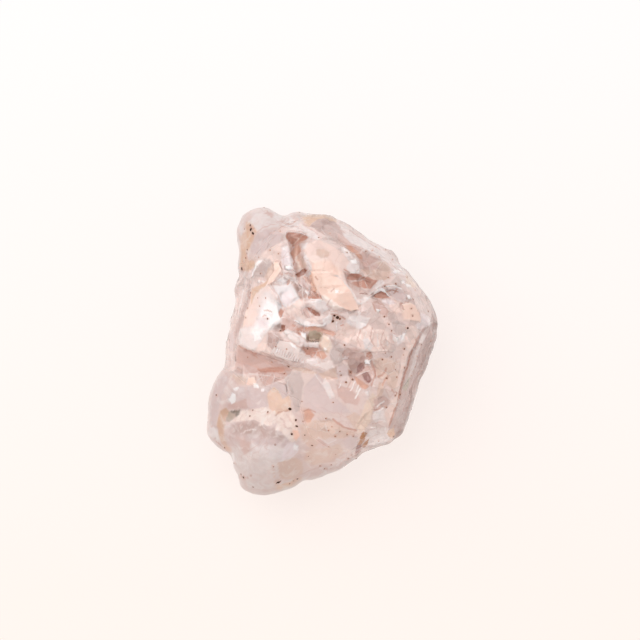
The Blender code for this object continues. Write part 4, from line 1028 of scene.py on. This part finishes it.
def vertex_normals(points, quads):
    """Outward unit normals: the sum of each point's faces' normals, from the faces' crossed diagonals."""
    faces = np.cross(points[quads[:, 2]] - points[quads[:, 0]], points[quads[:, 3]] - points[quads[:, 1]])
    normals = np.stack(
        [sum(np.bincount(quads[:, corner], faces[:, axis], len(points)) for corner in range(4)) for axis in range(3)],
        axis=1,
    )
    return normals / np.maximum(np.linalg.norm(normals, axis=1), NEARLY_NOTHING)[:, None]


def neighbour_mean(points, quads):
    """The mean of each point's neighbours along the quads' edges."""
    starts, ends = quads.ravel(), np.roll(quads, -1, axis=1).ravel()
    count = np.bincount(starts, minlength=len(points))
    return np.stack([np.bincount(starts, points[ends, axis], len(points)) / count for axis in range(3)], axis=1)


def relaxed(points, quads, weight, rounds):
    """Moves each point towards the mean of its neighbours by its weight, as many times as rounds says."""
    for _ in range(rounds):
        points = points + (neighbour_mean(points, quads) - points) * weight[:, None]
    return points


def deepest_inside(areas, x, y):
    """The signed distance of each x and y from the edges of the areas: above zero inside any of them."""
    return np.maximum.reduce([depth_inside(over_plan(area), x, y) for area in areas])


def stone_heights(across, along):
    """The raster of the upper side before and after its relief, of the lower side, and of how etched it is.

    The solid's upper side is drawn towards the mean height round it, with its clefts cut off at their depth. The
    etched areas are blurred, and the relief is added. The lower side is blurred near the rim, and stays below the
    upper one by a part of the rim's wall.
    """
    top, bottom = cad_heights(across, along)
    inner = smooth_step(*INNER_FADE, blurred(np.isfinite(top).astype(float), INNER_BLUR))
    top, bottom = [spread_outwards(heights, SPREAD_STEPS) for heights in (top, bottom)]
    x, y = np.meshgrid(across, along)
    etched = smooth_step(*ETCHED_FADE, deepest_inside(ETCHED_AREAS, x, y))
    level = blurred(top, LEVEL_BLUR)
    flatter = 1 - (1 - SHALLOW_SHARE) * smooth_step(*SHALLOW_FADE, deepest_inside(SHALLOW_AREAS, x, y))
    top = np.maximum(level + STEP_SHARE * flatter * (top - level), level - CLEFT_DEPTH * flatter)
    rounded = top + (blurred(top, ETCHED_BLUR) - top) * etched
    crisp = blurred(rounded + relief(across, along), CRISP_BLUR)
    even = blurred(np.minimum(bottom, crisp - RIM_WALL), LOWER_BLUR)
    bottom = np.minimum(even + (bottom - even) * inner, crisp - RIM_WALL / 2)
    return top, crisp, bottom, etched


def stone_surface():
    """The stone's points in millimetres, its quads, the way count of each point and how etched it is.

    A point's direction gives its angle round the stone and its share of the way down. The table of ways turns
    that share into a place in the plan, and the heights of the two sides lift it.
    """
    top, crisp, bottom, etched = stone_heights(*plan_axes())
    angles = np.linspace(0, 2 * math.pi, ROUND_STEPS, endpoint=False)
    rim_reach = outline_radius(angles)
    ring = np.stack([np.cos(angles), np.sin(angles), np.zeros_like(angles)], axis=1) * rim_reach[:, None]
    rim_reach += layered(ring, OUTLINE_NOISE)
    rim_reach += ETCHED_SWELL * sampled(etched, ring[:, 0], ring[:, 1])
    counts = ways_down(blurred(top, WAY_BLUR), blurred(bottom, WAY_BLUR), angles, rim_reach)

    directions, quads = ball_directions(GRID)
    around = np.arctan2(directions[:, 1], directions[:, 0])
    turn = np.mod(around / (2 * math.pi), 1) * ROUND_STEPS
    before = turn.astype(int) % ROUND_STEPS
    after, turn_share = (before + 1) % ROUND_STEPS, turn - np.floor(turn)
    down = np.arccos(np.clip(directions[:, 2], -1, 1)) / math.pi * (WAY_STEPS - 1)
    above = np.minimum(down.astype(int), WAY_STEPS - 2)
    down_share = down - above
    ways = [counts[line, above] * (1 - down_share) + counts[line, above + 1] * down_share for line in (before, after)]
    way = ways[0] * (1 - turn_share) + ways[1] * turn_share
    rim = rim_reach[before] * (1 - turn_share) + rim_reach[after] * turn_share

    reach = np.clip(np.minimum(way, 3 - way), 0, 1) * rim
    x, y = reach * np.cos(around), reach * np.sin(around)
    drop = np.clip(way - 1, 0, 1)
    z = sampled(crisp, x, y) * (1 - drop) + sampled(bottom, x, y) * drop
    return np.stack([x, y, z], axis=1), quads, way, sampled(etched, x, y)


def finish_masks(points, upper):
    """How much of each finish every point has, and of the plain pink that is left. They add up to 1.

    Patches, strokes and specks are painted one over the other, with places shifted by noise for a ragged edge.
    A patch has a softer edge on one side, picked at random, and a tone that rises towards that side. All of them
    fade below the rim as upper does, and noise scatters a few finishes there instead.
    """
    x = points[:, 0] + layered(points, SHIFT_ACROSS)
    y = points[:, 1] + layered(points, SHIFT_ALONG)
    masks = {finish: np.zeros(len(points)) for finish in FINISHES}
    tone = np.zeros(len(points))

    def points_round(places, margin):
        """The numbers of the upper points round the places, and the corners of the box that holds them."""
        low, high = np.min(places, axis=0) - margin, np.max(places, axis=0) + margin
        inside = (x > low[0]) & (x < high[0]) & (y > low[1]) & (y < high[1]) & (upper > 0)
        return np.flatnonzero(inside), low, high

    def paint(finish, held, strength):
        """Covers the held points with the finish by the strength, and takes that share of what was there."""
        for mask in masks.values():
            mask[held] *= 1 - strength
        masks[finish][held] += strength

    for number, (finish, low, high, spacing) in enumerate(SCATTER):
        strength = smooth_step(low, high, grain(points, spacing, SCATTER_SEED + number)) * (1 - upper)
        paint(finish, slice(None), strength)
    for (finish, fade, pixels), (lean_x, lean_y) in zip(PATCHES, patch_leans(TONE_SEED)):
        shape = over_plan(pixels)
        held, (low_x, low_y), (high_x, high_y) = points_round(shape, PATCH_MARGIN)
        away = ((x[held] - (low_x + high_x) / 2) * lean_x / (high_x - low_x)
            + (y[held] - (low_y + high_y) / 2) * lean_y / (high_y - low_y))
        half = fade * PIXEL * (CRISP_SIDE + SOFTER_SIDE * smooth_step(0, SOFTER_FROM, away))
        strength = smooth_step(-half, half, depth_inside(shape, x[held], y[held])) * upper[held]
        paint(finish, held, strength)
        tone[held] += strength * (away - tone[held])
    for finish, width, pixels in STROKES:
        line = over_plan(pixels)
        held, _, _ = points_round(line, STROKE_MARGIN)
        start, end = [width * PIXEL / 2 * share for share in STROKE_EDGE]
        strength = 1 - smooth_step(start, end, from_line(line, x[held], y[held]))
        paint(finish, held, STROKE_COVER * strength * upper[held])
    for px, py, radius in SPECKS:
        [(centre_x, centre_y)] = over_plan([(px, py)])
        reach = radius * PIXEL * HALO
        held, _, _ = points_round([(centre_x, centre_y)], reach)
        away = np.hypot(x[held] - centre_x, y[held] - centre_y)
        paint("rust", held, HALO_COVER * (1 - smooth_step(reach * HALO_CORE, reach, away)) * upper[held])
    masks["plain"] = 1 - sum(masks.values())
    masks["tone"] = tone
    return masks


def chip_and_grain(points, quads, roundness, calm):
    """Lays the finer forms over the surface, along its normals.

    Small shells where the stone is cleaved and not calm, soft waves where it is etched, and nothing on the
    resting face.
    """
    for everywhere, where_etched, rounds in EVENING:
        points = relaxed(points, quads, everywhere + where_etched * roundness, rounds)
    normals = vertex_normals(points, quads)
    flat = smooth_step(*FLAT_FADE, np.abs(normals[:, 2]))
    cleaved = (1 - roundness) * (1 - CALM_LOSS * calm) * (WALL_SHARE + (1 - WALL_SHARE) * flat)
    lowered = points * (1, 1, UPRIGHT_SHARE)
    shells = sum(chipped(lowered, *shell) for shell in SHELLS)
    depth = cleaved * shells + layered(points, WAVES) * (CLEAVED_WAVES + roundness) + layered(points, FINE_GRAIN)
    resting = smooth_step(*RESTING_FADE, points[:, 2])
    points = points + normals * (depth * resting)[:, None]
    points[:, 2] = np.maximum(points[:, 2], 0)
    return points


def bends(points, normals, quads):
    """How sharply the surface bends at each point: above zero in hollows and below zero on ridges.

    It is the way to the neighbours' mean along the normal, over the mean diagonal of the quads round the point.
    """
    inwards = ((neighbour_mean(points, quads) - points) * normals).sum(axis=1)
    diagonals = np.linalg.norm(points[quads[:, 0]] - points[quads[:, 2]], axis=1)
    count = np.bincount(quads[:, 0], minlength=len(points))
    size = np.bincount(quads[:, 0], diagonals, len(points)) / np.maximum(count, 1)
    return inwards / np.maximum(size, PLAN_STEP / 2)


def add_mesh(name, points, quads):
    """A smooth-shaded mesh object of the points, given in millimetres, and their quads."""
    mesh = bpy.data.meshes.new(name)
    mesh.vertices.add(len(points))
    mesh.vertices.foreach_set("co", (points * MM).astype(np.float32).ravel())
    mesh.loops.add(quads.size)
    mesh.loops.foreach_set("vertex_index", quads.astype(np.int32).ravel())
    mesh.polygons.add(len(quads))
    mesh.polygons.foreach_set("loop_start", np.arange(0, quads.size, 4, dtype=np.int32))
    mesh.polygons.foreach_set("use_smooth", np.ones(len(quads), bool))
    mesh.update(calc_edges=True)
    piece = bpy.data.objects.new(name, mesh)
    bpy.context.scene.collection.objects.link(piece)
    return piece


def make_stone():
    """The stone with its masks, and its points, their normals and their way counts."""
    points, quads, way, roundness = stone_surface()
    upper = 1 - smooth_step(*UPPER_END, way)
    masks = finish_masks(points, upper)
    smooth = smooth_step(*SMOOTH_FADE, deepest_inside(SMOOTH_AREAS, *points[:, :2].T)) * upper
    calm = np.maximum(sum(masks[finish] for finish in SMOOTH_FINISHES), smooth)
    points = chip_and_grain(points, quads, roundness, calm)
    normals = vertex_normals(points, quads)
    bend = bends(points, normals, quads)
    masks["etched"] = roundness
    masks["smooth"] = calm
    # The rim, ridge and hollow masks are painted light: a pale band of light along the thin rim, highlights on convex
    # bends that are partly their own frosted edges, and shade in concave bends.
    masks["rim"] = smooth_step(*EDGE_START, way) * (1 - smooth_step(*EDGE_END, way))
    masks["steep"] = (1 - smooth_step(*FLAT_FADE, normals[:, 2])) * (1 - smooth_step(*STEEP_END, way))
    masks["ridge"] = smooth_step(*BEND_FADE, -bend) * (1 - STEEP_LOSS * masks["steep"])
    masks["hollow"] = smooth_step(*BEND_FADE, bend) * (1 - STEEP_LOSS * masks["steep"])
    stone = add_mesh("morganite_stone", points, quads)
    for name, values in masks.items():
        attribute = stone.data.attributes.new(name, "FLOAT", "POINT")
        attribute.data.foreach_set("value", values.astype(np.float32))
    return stone, points, normals, way


def make_grains(points, normals, way):
    """Dark mineral grains, half sunk in the stone.

    Each one is a small ball round its middle, stretched a little at random along the surface and squashed along
    the surface's normal. The middles are the points nearest to the specks of the upper side, and random points
    of the other sides.
    """
    upper = np.flatnonzero(way < GRAINS_ABOVE)
    places = np.array(over_plan([speck[:2] for speck in SPECKS]))
    nearest = [upper[np.argmin(((points[upper, :2] - place) ** 2).sum(axis=1))] for place in places]
    below = np.flatnonzero((way > GRAINS_BELOW) & (points[:, 2] > HIDDEN_HEIGHT))
    middles = np.concatenate([nearest, rng.choice(below, HIDDEN_GRAINS, replace=False)])
    seen = np.array([speck[2] for speck in SPECKS]) * PIXEL * GRAIN_SHARE
    radii = np.concatenate([seen, rng.uniform(*HIDDEN_RADII, HIDDEN_GRAINS) * PIXEL])
    directions, quads = ball_directions(GRAIN_GRID)
    normal = normals[middles]
    side = np.cross(normal, GRAIN_ACROSS)
    side /= np.linalg.norm(side, axis=1)[:, None]
    stretch = rng.uniform(*GRAIN_STRETCH, (len(middles), 2)) * radii[:, None]
    balls = points[middles][:, None, :] + directions[None, :, 0, None] * (side * stretch[:, :1])[:, None, :]
    balls += directions[None, :, 1, None] * (np.cross(normal, side) * stretch[:, 1:])[:, None, :]
    balls += (directions[None, :, 2, None] * GRAIN_HEIGHT - GRAIN_SINK) * (normal * radii[:, None])[:, None, :]
    starts = np.arange(len(middles))[:, None, None] * len(directions)
    grains = add_mesh("morganite_grains", balls.reshape(-1, 3), (quads[None] + starts).reshape(-1, 4))
    thick = grains.data.attributes.new("thick", "FLOAT", "POINT")
    dark = np.repeat(smooth_step(*GRAIN_DARK, radii / PIXEL), len(directions))
    thick.data.foreach_set("value", dark.astype(np.float32))
    return grains


def place_node(tree, kind, sockets=None, **settings):
    """Adds a node. sockets gives its inputs, each a plain value or the output of another node."""
    node = tree.nodes.new(kind)
    for name, value in settings.items():
        setattr(node, name, value)
    for name, value in (sockets or {}).items():
        if isinstance(value, bpy.types.NodeSocket):
            tree.links.new(value, node.inputs[name])
        else:
            node.inputs[name].default_value = value
    return node


def new_group(name, inputs, outputs):
    """An empty shader node group: the group, its inner input sockets and its inner output sockets."""
    group = bpy.data.node_groups.new(name, "ShaderNodeTree")
    for label, kind, value in inputs:
        socket = group.interface.new_socket(label, in_out="INPUT", socket_type="NodeSocket" + kind)
        if value is not None:
            socket.default_value = value
    for label, kind in outputs:
        group.interface.new_socket(label, in_out="OUTPUT", socket_type="NodeSocket" + kind)
    return group, group.nodes.new("NodeGroupInput").outputs, group.nodes.new("NodeGroupOutput").inputs


def use_group(tree, group, sockets):
    """The outputs of the group, placed in the tree with its own values."""
    return place_node(tree, "ShaderNodeGroup", sockets, node_tree=group).outputs


def times(tree, first, second):
    """The product of two values, each a plain number or a node's output."""
    return place_node(tree, "ShaderNodeMath", {0: first, 1: second}, operation="MULTIPLY").outputs[0]


def times_plus(tree, first, second, third):
    """The product of the first two values, plus the third."""
    return place_node(tree, "ShaderNodeMath", {0: first, 1: second, 2: third}, operation="MULTIPLY_ADD").outputs[0]


def vectors(tree, operation, *values):
    """The vector that the operation makes of the values, each a plain vector or a node's output."""
    return place_node(tree, "ShaderNodeVectorMath", dict(enumerate(values)), operation=operation).outputs[0]


def ranged(tree, value, low=0.0, high=1.0, start=0.0, end=1.0):
    """The value's way from low to high as a way from start to end, and no farther than those."""
    sockets = {"Value": value, "From Min": low, "From Max": high, "To Min": start, "To Max": end}
    return place_node(tree, "ShaderNodeMapRange", sockets).outputs[0]


def cloud(tree, place, waves, detail=2.0, swirl=0.0):
    """Soft noise of 0 to 1, with about as many waves to the metre."""
    sockets = {"Vector": place, "Scale": waves, "Detail": detail, "Distortion": swirl}
    return place_node(tree, "ShaderNodeTexNoise", sockets).outputs["Fac"]


def mixed(tree, share, first, second):
    """The first colour turned into the second by the share. A plain colour is a tuple of red, green and blue."""
    first, second = [(*colour, 1) if isinstance(colour, tuple) else colour for colour in (first, second)]
    mix = place_node(tree, "ShaderNodeMix", {"Factor": share, "A": first, "B": second}, data_type="RGBA")
    return mix.outputs["Result"]


def tinted(tree, colour, mask, name):
    """The colour turned into the named tint by the mask times the tint's strength."""
    strength, tint = TINTS[name]
    return mixed(tree, times(tree, mask, strength), colour, tint)


def wandering(tree, place, waves, amount):
    """The place shifted by noise, so that what is read from it has uneven edges."""
    noise = place_node(tree, "ShaderNodeTexNoise", {"Vector": place, "Scale": waves, "Detail": 3.0})
    centred = vectors(tree, "SUBTRACT", noise.outputs["Color"], MIDDLE_COLOUR)
    return vectors(tree, "MULTIPLY_ADD", centred, (amount, amount, amount), place)


def border_lines(tree, place, cells, width):
    """Lines between the cells of an uneven pattern: 1 on a border, and down to 0 at the width along an S curve."""
    edges = place_node(tree, "ShaderNodeTexVoronoi", {"Vector": place, "Scale": cells}, feature="DISTANCE_TO_EDGE")
    sockets = {"Value": edges.outputs["Distance"], "From Max": width, "To Min": 1.0, "To Max": 0.0}
    return place_node(tree, "ShaderNodeMapRange", sockets, interpolation_type="SMOOTHSTEP").outputs[0]


def facets_group():
    """Small flat facets. Each cell of an uneven pattern is a plane that leans its own way through its middle.

    Puts out the planes' height in metres, a random tint for each, and a mask of the borders between them.
    """
    group, given, result = new_group(
        "facets",
        [("Vector", "Vector", None), ("Facets per Metre", "Float", 1100.0), ("Border", "Float", 0.05)],
        [("Height", "Float"), ("Tint", "Float"), ("Borders", "Float")],
    )
    place = wandering(group, given["Vector"], waves=900.0, amount=0.0004)
    cells = place_node(group, "ShaderNodeTexVoronoi", {"Vector": place, "Scale": given["Facets per Metre"]})
    away = vectors(group, "SUBTRACT", place, cells.outputs["Position"])
    lean = vectors(group, "SUBTRACT", cells.outputs["Color"], MIDDLE_COLOUR)
    height = place_node(group, "ShaderNodeVectorMath", {0: away, 1: lean}, operation="DOT_PRODUCT")
    tint = place_node(group, "ShaderNodeSeparateColor", {"Color": cells.outputs["Color"]})
    borders = border_lines(group, place, given["Facets per Metre"], given["Border"])
    group.links.new(height.outputs["Value"], result["Height"])
    group.links.new(tint.outputs[0], result["Tint"])
    group.links.new(borders, result["Borders"])
    return group


def streak_group():
    """Fine parallel streaks: noise that is squeezed along one direction of the stone."""
    group, given, result = new_group(
        "streaks",
        [("Vector", "Vector", None), ("Along", "Vector", (0.0, 1.0, 0.0)), ("Streaks per Metre", "Float", 3000.0)],
        [("Mask", "Float")],
    )
    run = place_node(group, "ShaderNodeVectorMath", {0: given["Vector"], 1: given["Along"]}, operation="DOT_PRODUCT")
    along = place_node(group, "ShaderNodeVectorMath", {0: given["Along"], "Scale": run.outputs["Value"]},
        operation="SCALE")
    squeezed = vectors(group, "MULTIPLY_ADD", along.outputs[0], (SQUEEZE, SQUEEZE, SQUEEZE), given["Vector"])
    streaks = cloud(group, squeezed, given["Streaks per Metre"], detail=3.0)
    group.links.new(ranged(group, streaks, *STREAKS_SHOWN), result["Mask"])
    return group


def hairline_group():
    """Fine healed cracks: the borders between uneven blocks, where a slow noise lets them show."""
    group, given, result = new_group(
        "hairline",
        [("Vector", "Vector", None), ("Blocks per Metre", "Float", 700.0), ("Width", "Float", 0.04)],
        [("Mask", "Float")],
    )
    place = wandering(group, given["Vector"], waves=1100.0, amount=0.0012)
    lines = border_lines(group, place, given["Blocks per Metre"], given["Width"])
    shown = ranged(group, cloud(group, given["Vector"], waves=260.0), *CRACKS_SHOWN)
    group.links.new(times(group, lines, shown), result["Mask"])
    return group


def pepper_group():
    """Scattered dark grains: small balls in the middle of some of many cells."""
    group, given, result = new_group(
        "pepper",
        [("Vector", "Vector", None), ("Cells per Metre", "Float", 900.0), ("Radius", "Float", 0.09),
            ("Share", "Float", 0.25)],
        [("Mask", "Float")],
    )
    cells = place_node(group, "ShaderNodeTexVoronoi", {"Vector": given["Vector"], "Scale": given["Cells per Metre"]})
    near = place_node(group, "ShaderNodeMath", {0: cells.outputs["Distance"], 1: given["Radius"]},
        operation="LESS_THAN")
    draw = place_node(group, "ShaderNodeSeparateColor", {"Color": cells.outputs["Color"]})
    chosen = place_node(group, "ShaderNodeMath", {0: draw.outputs[1], 1: given["Share"]}, operation="LESS_THAN")
    group.links.new(times(group, near.outputs[0], chosen.outputs[0]), result["Mask"])
    return group


def mask_of(tree, name):
    """The mesh's own mask of that name."""
    return place_node(tree, "ShaderNodeAttribute", attribute_name=name).outputs["Fac"]


def new_material(name, values):
    """A material with those values on its shader: the material, its node tree, its shader and Object coordinates."""
    material = bpy.data.materials.new(name)
    material.use_nodes = True
    tree = material.node_tree
    shader = tree.nodes["Principled BSDF"]
    for label, value in values.items():
        shader.inputs[label].default_value = value
    return material, tree, shader, place_node(tree, "ShaderNodeTexCoord").outputs["Object"]


def painted_finishes(tree, place):
    """Each finish's colour times its mask, and the cloudy plain pink times what is left, added up."""
    plain = mixed(tree, cloud(tree, place, waves=650.0, detail=5.0), *PLAIN_COLOURS)
    painted = vectors(tree, "MULTIPLY", plain, mask_of(tree, "plain"))
    # The finishes include painted highlights in the white patches and painted shade under the ledge and on the prism
    # face.
    for finish, (colour, _) in FINISHES.items():
        painted = vectors(tree, "MULTIPLY_ADD", colour, mask_of(tree, finish), painted)
    return painted


def facet_tints(tree, painted, coarse, fine, rough):
    """The painted colour made darker or paler by the facets' random tints and by the patches' own tone."""
    tints = place_node(tree, "ShaderNodeMath", {0: coarse["Tint"], 1: fine["Tint"]}, operation="ADD").outputs[0]
    shade = times_plus(tree, ranged(tree, tints, *TINT_SUM, *FACET_TINTS), rough, 1.0)
    shade = times_plus(tree, mask_of(tree, "tone"), TONE_STRENGTH, shade)
    return vectors(tree, "MULTIPLY", painted, shade)


def veined(tree, place, colour, etched):
    """The colour with pinker and paler veins where the stone is etched."""
    marble = cloud(tree, place, waves=1300.0, detail=4.0, swirl=1.2)
    for ends, name in ((PINKER_VEINS, "pinker vein"), (PALER_VEINS, "paler vein")):
        colour = tinted(tree, colour, times(tree, ranged(tree, marble, *ends), etched), name)
    return colour


def bordered(tree, place, colour, coarse, fine, rough):
    """The colour with the facets' borders, which are pale in some places and dark in others."""
    gate = cloud(tree, place, waves=420.0, detail=1.0)
    pale, dark = ranged(tree, gate, *PALE_SHOWN), ranged(tree, gate, *DARK_SHOWN)
    for facets, shown, name in (
        (coarse, pale, "pale border"), (coarse, dark, "dark border"),
        (fine, pale, "fine pale border"), (fine, dark, "fine dark border"),
    ):
        colour = tinted(tree, colour, times(tree, times(tree, facets["Borders"], rough), shown), name)
    return colour


def stone_material():
    """Pale pink crystal, part clear and part milky, with its stains and with painted highlights and shade."""
    material, tree, shader, place = new_material("morganite", CRYSTAL)
    lowered = vectors(tree, "MULTIPLY", place, (1.0, 1.0, UPRIGHT_SHARE))
    etched = mask_of(tree, "etched")
    calm = place_node(tree, "ShaderNodeMath", {0: etched, 1: mask_of(tree, "smooth")}, operation="MAXIMUM").outputs[0]
    rough = times(tree, ranged(tree, calm, start=1.0, end=CALM_FACETS),
        ranged(tree, mask_of(tree, "steep"), start=1.0, end=STEEP_FACETS))

    facets = facets_group()
    coarse = use_group(tree, facets, {"Vector": lowered, "Facets per Metre": 1000.0, "Border": 0.045})
    fine = use_group(tree, facets, {"Vector": lowered, "Facets per Metre": 2400.0, "Border": 0.07})
    cracks = use_group(tree, hairline_group(), {"Vector": lowered, "Blocks per Metre": 620.0, "Width": 0.03})
    pepper = use_group(tree, pepper_group(), {"Vector": place, "Cells per Metre": 620.0, "Radius": 0.05, "Share": 0.3})
    streaks = use_group(tree, streak_group(), {"Vector": place, "Along": PRISM_RUN, "Streaks per Metre": 2600.0})

    colour = facet_tints(tree, painted_finishes(tree, place), coarse, fine, rough)
    colour = veined(tree, place, colour, etched)
    colour = bordered(tree, place, colour, coarse, fine, rough)
    # Painted light and shade: highlights on ridges, shade in hollows and light along the rim.
    for name in ("ridge", "hollow", "rim"):
        colour = tinted(tree, colour, mask_of(tree, name), name)
    colour = tinted(tree, colour, cracks["Mask"], "crack")
    colour = tinted(tree, colour, pepper["Mask"], "pepper")
    colour = tinted(tree, colour, times(tree, streaks["Mask"], mask_of(tree, "smoky_shade")), "streak")
    tree.links.new(colour, shader.inputs["Base Color"])

    heights = times(tree, times_plus(tree, fine["Height"], FINE_RELIEF, coarse["Height"]), rough)
    bump = place_node(tree, "ShaderNodeBump", {"Height": heights, "Distance": BUMP_DISTANCE, "Strength": 1.0})
    tree.links.new(bump.outputs["Normal"], shader.inputs["Normal"])
    tree.links.new(ranged(tree, etched, 0.0, 1.0, *POLISH), shader.inputs["Roughness"])
    return material


def grain_material():
    """Dark brown mineral, duller than the crystal and browner where it is thin."""
    material, tree, shader, place = new_material("dark_grain", DARK_GRAIN)
    thin = mixed(tree, ranged(tree, cloud(tree, place, waves=420.0), *THIN_CHANGE), *THIN_GRAIN)
    tree.links.new(mixed(tree, mask_of(tree, "thick"), thin, THICK_GRAIN), shader.inputs["Base Color"])
    return material


def make_floor():
    """A pale floor that glows a little, as over a light table, so the stone throws hardly any shadow."""
    half = FLOOR_SIDE / 2
    mesh = bpy.data.meshes.new("floor")
    mesh.from_pydata([(-half, -half, 0), (half, -half, 0), (half, half, 0), (-half, half, 0)], [], [(0, 1, 2, 3)])
    floor = bpy.data.objects.new("floor", mesh)
    bpy.context.scene.collection.objects.link(floor)
    material, tree, shader, place = new_material("floor", FLOOR)
    along = place_node(tree, "ShaderNodeSeparateXYZ", {0: place}).outputs["Y"]
    glow = mixed(tree, ranged(tree, along, *FLOOR_ENDS), FLOOR_NEAR, FLOOR_FAR)
    tree.links.new(glow, shader.inputs["Emission Color"])
    floor.data.materials.append(material)


def make_camera():
    """Straight above the middle of the photograph, from far enough that nothing is foreshortened."""
    side = IMAGE_SIDE * PIXEL
    [(middle_x, middle_y)] = over_plan([(IMAGE_SIDE / 2, IMAGE_SIDE / 2)])
    camera = bpy.data.objects.new("camera", bpy.data.cameras.new("camera"))
    camera.data.sensor_width = SENSOR
    camera.data.lens = SENSOR * (CAMERA_HEIGHT - SILHOUETTE_HEIGHT) / side
    camera.data.clip_start, camera.data.clip_end = CAMERA_RANGE
    camera.location = (middle_x * MM, middle_y * MM, CAMERA_HEIGHT * MM)
    bpy.context.scene.collection.objects.link(camera)
    bpy.context.scene.camera = camera


def make_light():
    """A large soft light from the upper left, and an even white surround."""
    lamp = bpy.data.objects.new("key", bpy.data.lights.new("key", "AREA"))
    lamp.data.shape = "DISK"
    lamp.data.size = LAMP_SIZE
    lamp.data.energy = LAMP_POWER
    lamp.location = LAMP_PLACE
    lamp.rotation_euler = (-lamp.location).to_track_quat("-Z", "Y").to_euler()
    bpy.context.scene.collection.objects.link(lamp)
    world = bpy.data.worlds.new("studio")
    world.use_nodes = True
    for label, value in SURROUND.items():
        world.node_tree.nodes["Background"].inputs[label].default_value = value
    bpy.context.scene.world = world
    bpy.context.scene.view_settings.view_transform = "Standard"


stone, points, normals, way = make_stone()
stone.data.materials.append(stone_material())
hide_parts("morganite_crystal")
grains = make_grains(points, normals, way)
grains.data.materials.append(grain_material())
for piece in (stone, grains):
    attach(piece, "root")
make_floor()
make_camera()
make_light()
